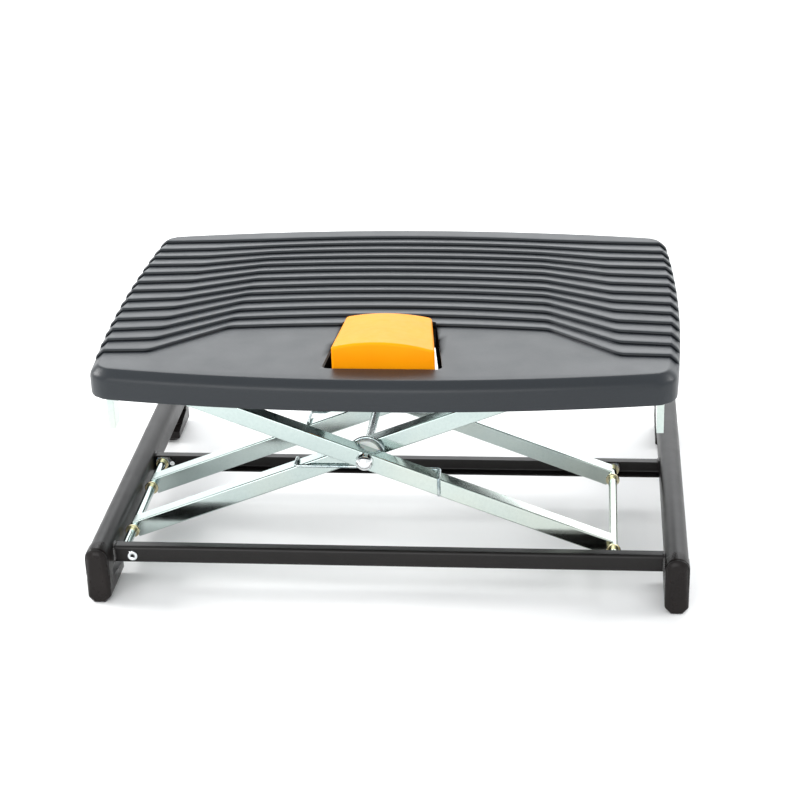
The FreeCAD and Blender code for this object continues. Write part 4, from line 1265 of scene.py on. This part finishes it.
# ------------------------------------------- rolled rails and stop screws
def rail(name, node, half, y_web, z_mid, back, radius=3.0, wall=1.5):
    """Channel bent from strip; back is +1 where the flanges run to +Y."""
    pts = []
    h, d = 8.0, 10.0

    def arc(cy, cz, r, a0, a1, n):
        for k in range(n + 1):
            a = math.radians(a0 + (a1 - a0) * k / n)
            pts.append((cy - r * math.cos(a), cz + r * math.sin(a)))
    pts.append((d, h - 0.25))
    pts.append((d - 0.25, h))
    pts.append((d * 0.6, h))
    arc(radius, h - radius, radius, 90, 0, 9)
    pts.append((0.0, 0.0))
    arc(radius, radius - h, radius, 0, -90, 9)
    pts.append((d * 0.6, -h))
    pts.append((d - 0.25, -h))
    pts.append((d, 0.25 - h))
    pts.append((d, wall - h))
    r = radius - wall
    arc(radius, radius - h, r, -90, 0, 5)
    arc(radius, h - radius, r, 0, 90, 5)
    pts.append((d, h - wall))
    verts, faces, rings = [], [], []
    for x in (-half, -half * 0.5, 0.0, half * 0.5, half):
        rings.append(list(range(len(verts), len(verts) + len(pts))))
        verts += [(x, y_web + back * y, z_mid + z) for (y, z) in pts]
    n = len(pts)
    for a, b in zip(rings[:-1], rings[1:]):
        for k in range(n):
            t = (k + 1) % n
            faces.append((a[k], a[t], b[t], b[k]))
    faces.append(tuple(reversed(rings[0])))
    faces.append(tuple(rings[-1]))
    ob = make(name, verts, faces, None, MATS["base_coat"], sharp=40)
    settle(ob, 40)
    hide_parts(node)
    return ob


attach(rail("rail_front", "front_rail", 240.0, -154.0, 34.0, 1), "base")
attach(rail("rail_rear", "rear_rail", 240.0, 35.5, 34.0, -1), "base")


def pan_screw(x, y, z, out):
    """Pan head with a rim ring and a deep round socket; out is the side that the head
    faces, +1 or -1 along Y."""
    prof = [(0.0, -10.0), (2.3, -10.0), (2.4, -9.6), (2.4, -0.4),
            (4.55, -0.02), (4.6, 0.1), (4.6, 1.7), (4.45, 2.15), (4.1, 2.45),
            (3.7, 2.5), (2.5, 2.5), (2.2, 2.4), (2.0, 2.15), (1.7, 2.1),
            (1.75, 1.9), (1.7, -5.0), (0.8, -5.2), (0.0, -5.3)]
    v, f = lathe(prof, (x, y, z), "y", 36, out)
    return v, f


def screws(name, node, z, body):
    ob = make(name, *joined(pan_screw(-223.0, -154.0, z, -1),
                            pan_screw(-223.0, 35.5, z, 1)),
              None, MATS["screw_zinc"], sharp=50)
    settle(ob, 50)
    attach(ob, body)
    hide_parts(node)


screws("stop_screws_lower", "base_stop_screws", 34.0, "base")
screws("stop_screws_upper", "upper_stop_screws", 199.8, "platform")


# ------------------------------------------- parts with their edges broken
def crisp(node, body, width, segments=2, angle=32.0):
    """A copy of a CAD part with its hard edges rounded a little."""
    src = frame["nodes"][node]
    bm = bmesh.new()
    bm.from_mesh(src.data)
    for v in bm.verts:                      # the posts end a little higher
        high = src.matrix_world @ v.co
        if "guide_stop" in node and high.z < 0.1525:
            high.z += 0.0035 if "left" in node else 0.0055
            v.co = src.matrix_world.inverted() @ high
    bmesh.ops.remove_doubles(bm, verts=bm.verts, dist=2e-6)
    bmesh.ops.dissolve_limit(bm, angle_limit=math.radians(0.5),
                             use_dissolve_boundaries=False,
                             verts=bm.verts, edges=bm.edges)
    hard = [e for e in bm.edges if len(e.link_faces) == 2
            and e.calc_face_angle(0.0) > math.radians(angle)]
    bmesh.ops.bevel(bm, geom=hard, offset=width * MM, segments=segments,
                    profile=0.5, affect="EDGES", clamp_overlap=True)
    bmesh.ops.recalc_face_normals(bm, faces=bm.faces)
    me = bpy.data.meshes.new(node + "_finish")
    bm.to_mesh(me)
    bm.free()
    ob = bpy.data.objects.new(node + "_finish", me)
    scene.collection.objects.link(ob)
    ob.matrix_world = src.matrix_world.copy()
    me.shade_smooth()
    me.set_sharp_from_angle(angle=math.radians(60))
    even_normals(ob)
    ob.data.materials.clear()
    ob.data.materials.append(MATS[slot_of[node]])
    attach(ob, body)
    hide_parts(node)
    return ob


def nose(x, y_end, inward, deep):
    """Bullet round a boot: its outline with a rounded end at y_end."""
    w, top, low = 10.9, 51.8, -0.4
    half = []
    for k in range(0, 13):                  # dome, left to right
        a = math.pi - math.pi * k / 12
        half.append((w * math.cos(a), top - w + w * math.sin(a)))
    for k in range(0, 8):                   # lower right corner
        a = -math.pi / 2 * k / 7
        half.append((w - 5.5 + 5.5 * math.cos(a), low + 5.5
                     + 5.5 * math.sin(a)))
    for k in range(0, 8):
        a = -math.pi / 2 - math.pi / 2 * k / 7
        half.append((-w + 5.5 + 5.5 * math.cos(a), low + 5.5
                     + 5.5 * math.sin(a)))
    r = 7.6
    cz0, cz1 = low + 10.4, top - 10.4
    verts, faces, rings = [], [], []
    for k in list(range(0, 8)) + [8, 9]:
        if k <= 7:
            a = math.radians(8 + 82 * k / 7)
            inset, d = r * (1 - math.sin(a)), r * (1 - math.cos(a))
        else:
            inset, d = 0.0, r + (deep - r) * (k - 7) / 2
        ring = []
        for (px, pz) in half:
            zc = min(max(pz, cz0), cz1)
            dx, dz = px, pz - zc
            ln = math.hypot(dx, dz)
            if dz < 0:                      # the sole stays long
                inset_z = inset * (1.0 - 0.95 * min(1.0, -dz / ln))
            else:
                inset_z = inset
            f = max(0.0, (ln - inset_z) / ln)
            ring.append(len(verts))
            verts.append((x + dx * f, y_end + inward * d, zc + dz * f))
        rings.append(ring)
    n = len(half)
    for a, b in zip(rings[:-1], rings[1:]):
        for q in range(n):
            t = (q + 1) % n
            faces.append((a[q], a[t], b[t], b[q]))
    faces.append(tuple(reversed(rings[0])))
    faces.append(tuple(rings[-1]))
    return verts, faces


def round_boot(ob, x, y_end, inward):
    tool = make("boot_nose", *nose(x, y_end, inward, 70.0), smooth=False)
    bm = bmesh.new()
    bm.from_mesh(tool.data)
    bmesh.ops.recalc_face_normals(bm, faces=bm.faces)
    bm.to_mesh(tool.data)
    bm.free()
    m = ob.modifiers.new("nose", "BOOLEAN")
    m.object = tool
    m.operation = "INTERSECT"
    m.solver = "EXACT"
    dg = bpy.context.evaluated_depsgraph_get()
    done = bpy.data.meshes.new_from_object(ob.evaluated_get(dg))
    ob.modifiers.clear()
    old = ob.data
    ob.data = done
    bpy.data.meshes.remove(old)
    bpy.data.objects.remove(tool)
    done.shade_smooth()
    done.set_sharp_from_angle(angle=math.radians(34))
    done.materials.clear()
    done.materials.append(MATS["boot_plastic"])
    even_normals(ob)


for n, sx, y_end, inward in (("front_left", -1, -179.0, 1),
                             ("front_right", 1, -179.0, 1),
                             ("rear_left", -1, 196.0, -1),
                             ("rear_right", 1, 196.0, -1)):
    piece = crisp("boot_" + n, "base", 0.5, 2)
    round_boot(piece, sx * 250.0, y_end, inward)
for n, bd in (("arm_a_front", "arms_a"), ("arm_a_rear", "arms_a"),
              ("arm_b_front", "arms_b"), ("arm_b_rear", "arms_b")):
    crisp(n, bd, 0.3, 2)
for n in ("guide_stop_left", "guide_stop_right", "side_angle_left",
          "side_angle_right", "mechanism_bracket"):
    crisp(n, "platform", 0.3, 2)


# ----------------------------------- yellow collars where the rods pass
for node, bd, x in (("arm_b_front", "arms_b", -232.5),
                    ("arm_b_rear", "arms_b", -232.5),
                    ("arm_a_front", "arms_a", 196.58),
                    ("arm_a_rear", "arms_a", 196.58)):
    src = frame["nodes"][node]
    face = min((src.matrix_world @ v.co).y for v in src.data.vertices) / MM
    ring = make("collar_" + node, *lathe(
        [(4.15, 0.0), (6.3, 0.0), (6.3, -0.9), (5.8, -1.4), (4.15, -1.4),
         (4.15, 0.0)], (x, face, 34.0), "y", 6 * 5), bd,
        MATS["washer_zinc"], sharp=40)
    bm = bmesh.new()
    bm.from_mesh(ring.data)
    bmesh.ops.remove_doubles(bm, verts=bm.verts, dist=1e-7)
    bm.to_mesh(ring.data)
    bm.free()
    settle(ring, 40)


# ------------------------------------------- copies of the compression springs
def pressed(node):
    """A copy of a compression spring, riding on the platform."""
    src = frame["nodes"][node]
    me = src.data.copy()
    ob = bpy.data.objects.new(node + "_wire", me)
    scene.collection.objects.link(ob)
    ob.matrix_world = src.matrix_world.copy()
    me.materials.clear()
    me.materials.append(MATS[slot_of[node]])
    me.shade_smooth()
    me.set_sharp_from_angle(angle=math.radians(60))
    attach(ob, "platform")
    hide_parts(node)
    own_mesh(ob)


pressed("pedal_spring")
pressed("lock_spring")


# -------------------------------------------------------------- weld beads
def bead(name, a, b, width, seed, body="base"):
    n = 26
    a, b = np.array(a, float), np.array(b, float)
    pts, rad = [], []
    for k in range(n):
        t = k / (n - 1)
        p = a + (b - a) * t
        w = 0.5 + 0.5 * math.sin(k * 1.55 + seed)
        p = p + 0.18 * np.array([math.sin(k * 2.1 + seed),
                                 math.cos(k * 1.7 + seed), 0.0])
        pts.append(p)
        ends = min(1.0, 0.45 + 3.2 * min(t, 1 - t))
        rad.append(width * ends * (0.86 + 0.16 * w))
    v, f = tube(pts, rad, 12, 0.6)
    ob = make(name, v, f, body, WELD, sharp=70)
    return ob


for sx, nm in ((-1, "left"), (1, "right")):
    x = sx * 239.7
    bead("weld_front_" + nm, (x, -154.3, 27.5), (x, -154.3, 41.0), 1.7,
         1.0 + sx)
    bead("weld_front_top_" + nm, (x, -152.8, 42.2), (x, -145.2, 42.2), 1.5,
         3.0 + sx)
    bead("weld_rear_" + nm, (x, 35.8, 27.5), (x, 35.8, 41.0), 1.7, 2.0 + sx)
    bead("weld_rear_top_" + nm, (x, 26.8, 42.2), (x, 34.2, 42.2), 1.5,
         4.0 + sx)


# -------------------------------------------------- floor, light, camera
fv = [(-9000, -7000, -0.4), (9000, -7000, -0.4), (9000, 11000, -0.4),
      (-9000, 11000, -0.4)]
floor = make("floor", fv, [(0, 1, 2, 3)], smooth=False)
fm = Mat("floor_paint")
fm.colour(fm.ramp(fm.noise(3.0, 3.0), [(0.3, (0.905, 0.903, 0.900)),
                                       (0.7, (0.925, 0.923, 0.920))]))
fm.rough(fm.ramp(fm.noise(40.0, 3.0), [(0.3, 0.62), (0.7, 0.72)]))
fm.set(Specular_IOR_Level=0.2)
fm.bump(fm.noise(160.0, 3.0), 0.00005, 0.4)
floor.data.materials.append(fm.m)

world = bpy.data.worlds.new("studio")
scene.world = world
world.use_nodes = True
wn = world.node_tree
bg = wn.nodes["Background"]
bg.inputs[0].default_value = (0.965, 0.985, 1.0, 1.0)
# an even white room, brighter behind and above the object
way = wn.nodes.new("ShaderNodeTexCoord")
dot = wn.nodes.new("ShaderNodeVectorMath")
dot.operation = "DOT_PRODUCT"
dot.inputs[1].default_value = (0.0, math.cos(math.radians(13)),
                               math.sin(math.radians(13)))
wn.links.new(way.outputs["Generated"], dot.inputs[0])
lobe = wn.nodes.new("ShaderNodeMapRange")
lobe.interpolation_type = "SMOOTHSTEP"
lobe.inputs["From Min"].default_value = 0.80
lobe.inputs["From Max"].default_value = 1.0
lobe.inputs["To Min"].default_value = 1.05
lobe.inputs["To Max"].default_value = 3.0
wn.links.new(dot.outputs["Value"], lobe.inputs["Value"])
wn.links.new(lobe.outputs[0], bg.inputs[1])


def area(name, loc, target, size_x, size_y, power, colour=(1, 1, 1)):
    li = bpy.data.lights.new(name, "AREA")
    li.shape = "RECTANGLE"
    li.size, li.size_y = size_x, size_y
    li.energy = power
    li.color = colour
    ob = bpy.data.objects.new(name, li)
    scene.collection.objects.link(ob)
    ob.location = loc
    d = Vector(target) - Vector(loc)
    ob.rotation_euler = d.to_track_quat("-Z", "Y").to_euler()
    return ob


area("back_softbox", (0.1, 1.9, 2.3), (0.0, 0.0, 0.2), 3.0, 0.8, 34.0,
     (0.97, 0.985, 1.0))
area("left_softbox", (-2.3, 0.25, 1.3), (0.0, 0.0, 0.2), 0.9, 0.9, 44.0)
area("right_softbox", (2.3, 0.25, 1.3), (0.0, 0.0, 0.2), 0.9, 0.9, 22.0)
area("front_softbox", (-0.6, -2.6, 1.1), (0.0, 0.0, 0.12), 2.4, 1.4, 36.0)


def view_axes(yaw, pitch, roll):
    f = np.array([-math.sin(yaw) * math.cos(pitch),
                  math.cos(yaw) * math.cos(pitch), -math.sin(pitch)])
    r = np.array([math.cos(yaw), math.sin(yaw), 0.0])
    u = np.cross(r, f)
    c, s = math.cos(roll), math.sin(roll)
    return c * r + s * u, -s * r + c * u, f


cam_data = bpy.data.cameras.new("camera")
cam_data.lens = 90.0
cam_data.sensor_width = 36.0
cam = bpy.data.objects.new("camera", cam_data)
scene.collection.objects.link(cam)
right, up, fwd = view_axes(0.104, 0.4309, -0.0328)
cam.matrix_world = Matrix((
    (right[0], up[0], -fwd[0], 0.17433),
    (right[1], up[1], -fwd[1], -1.66110),
    (right[2], up[2], -fwd[2], 0.88301),
    (0, 0, 0, 1)))
scene.camera = cam
scene.view_settings.view_transform = "Standard"
scene.view_settings.look = "None"

bpy.context.view_layer.update()
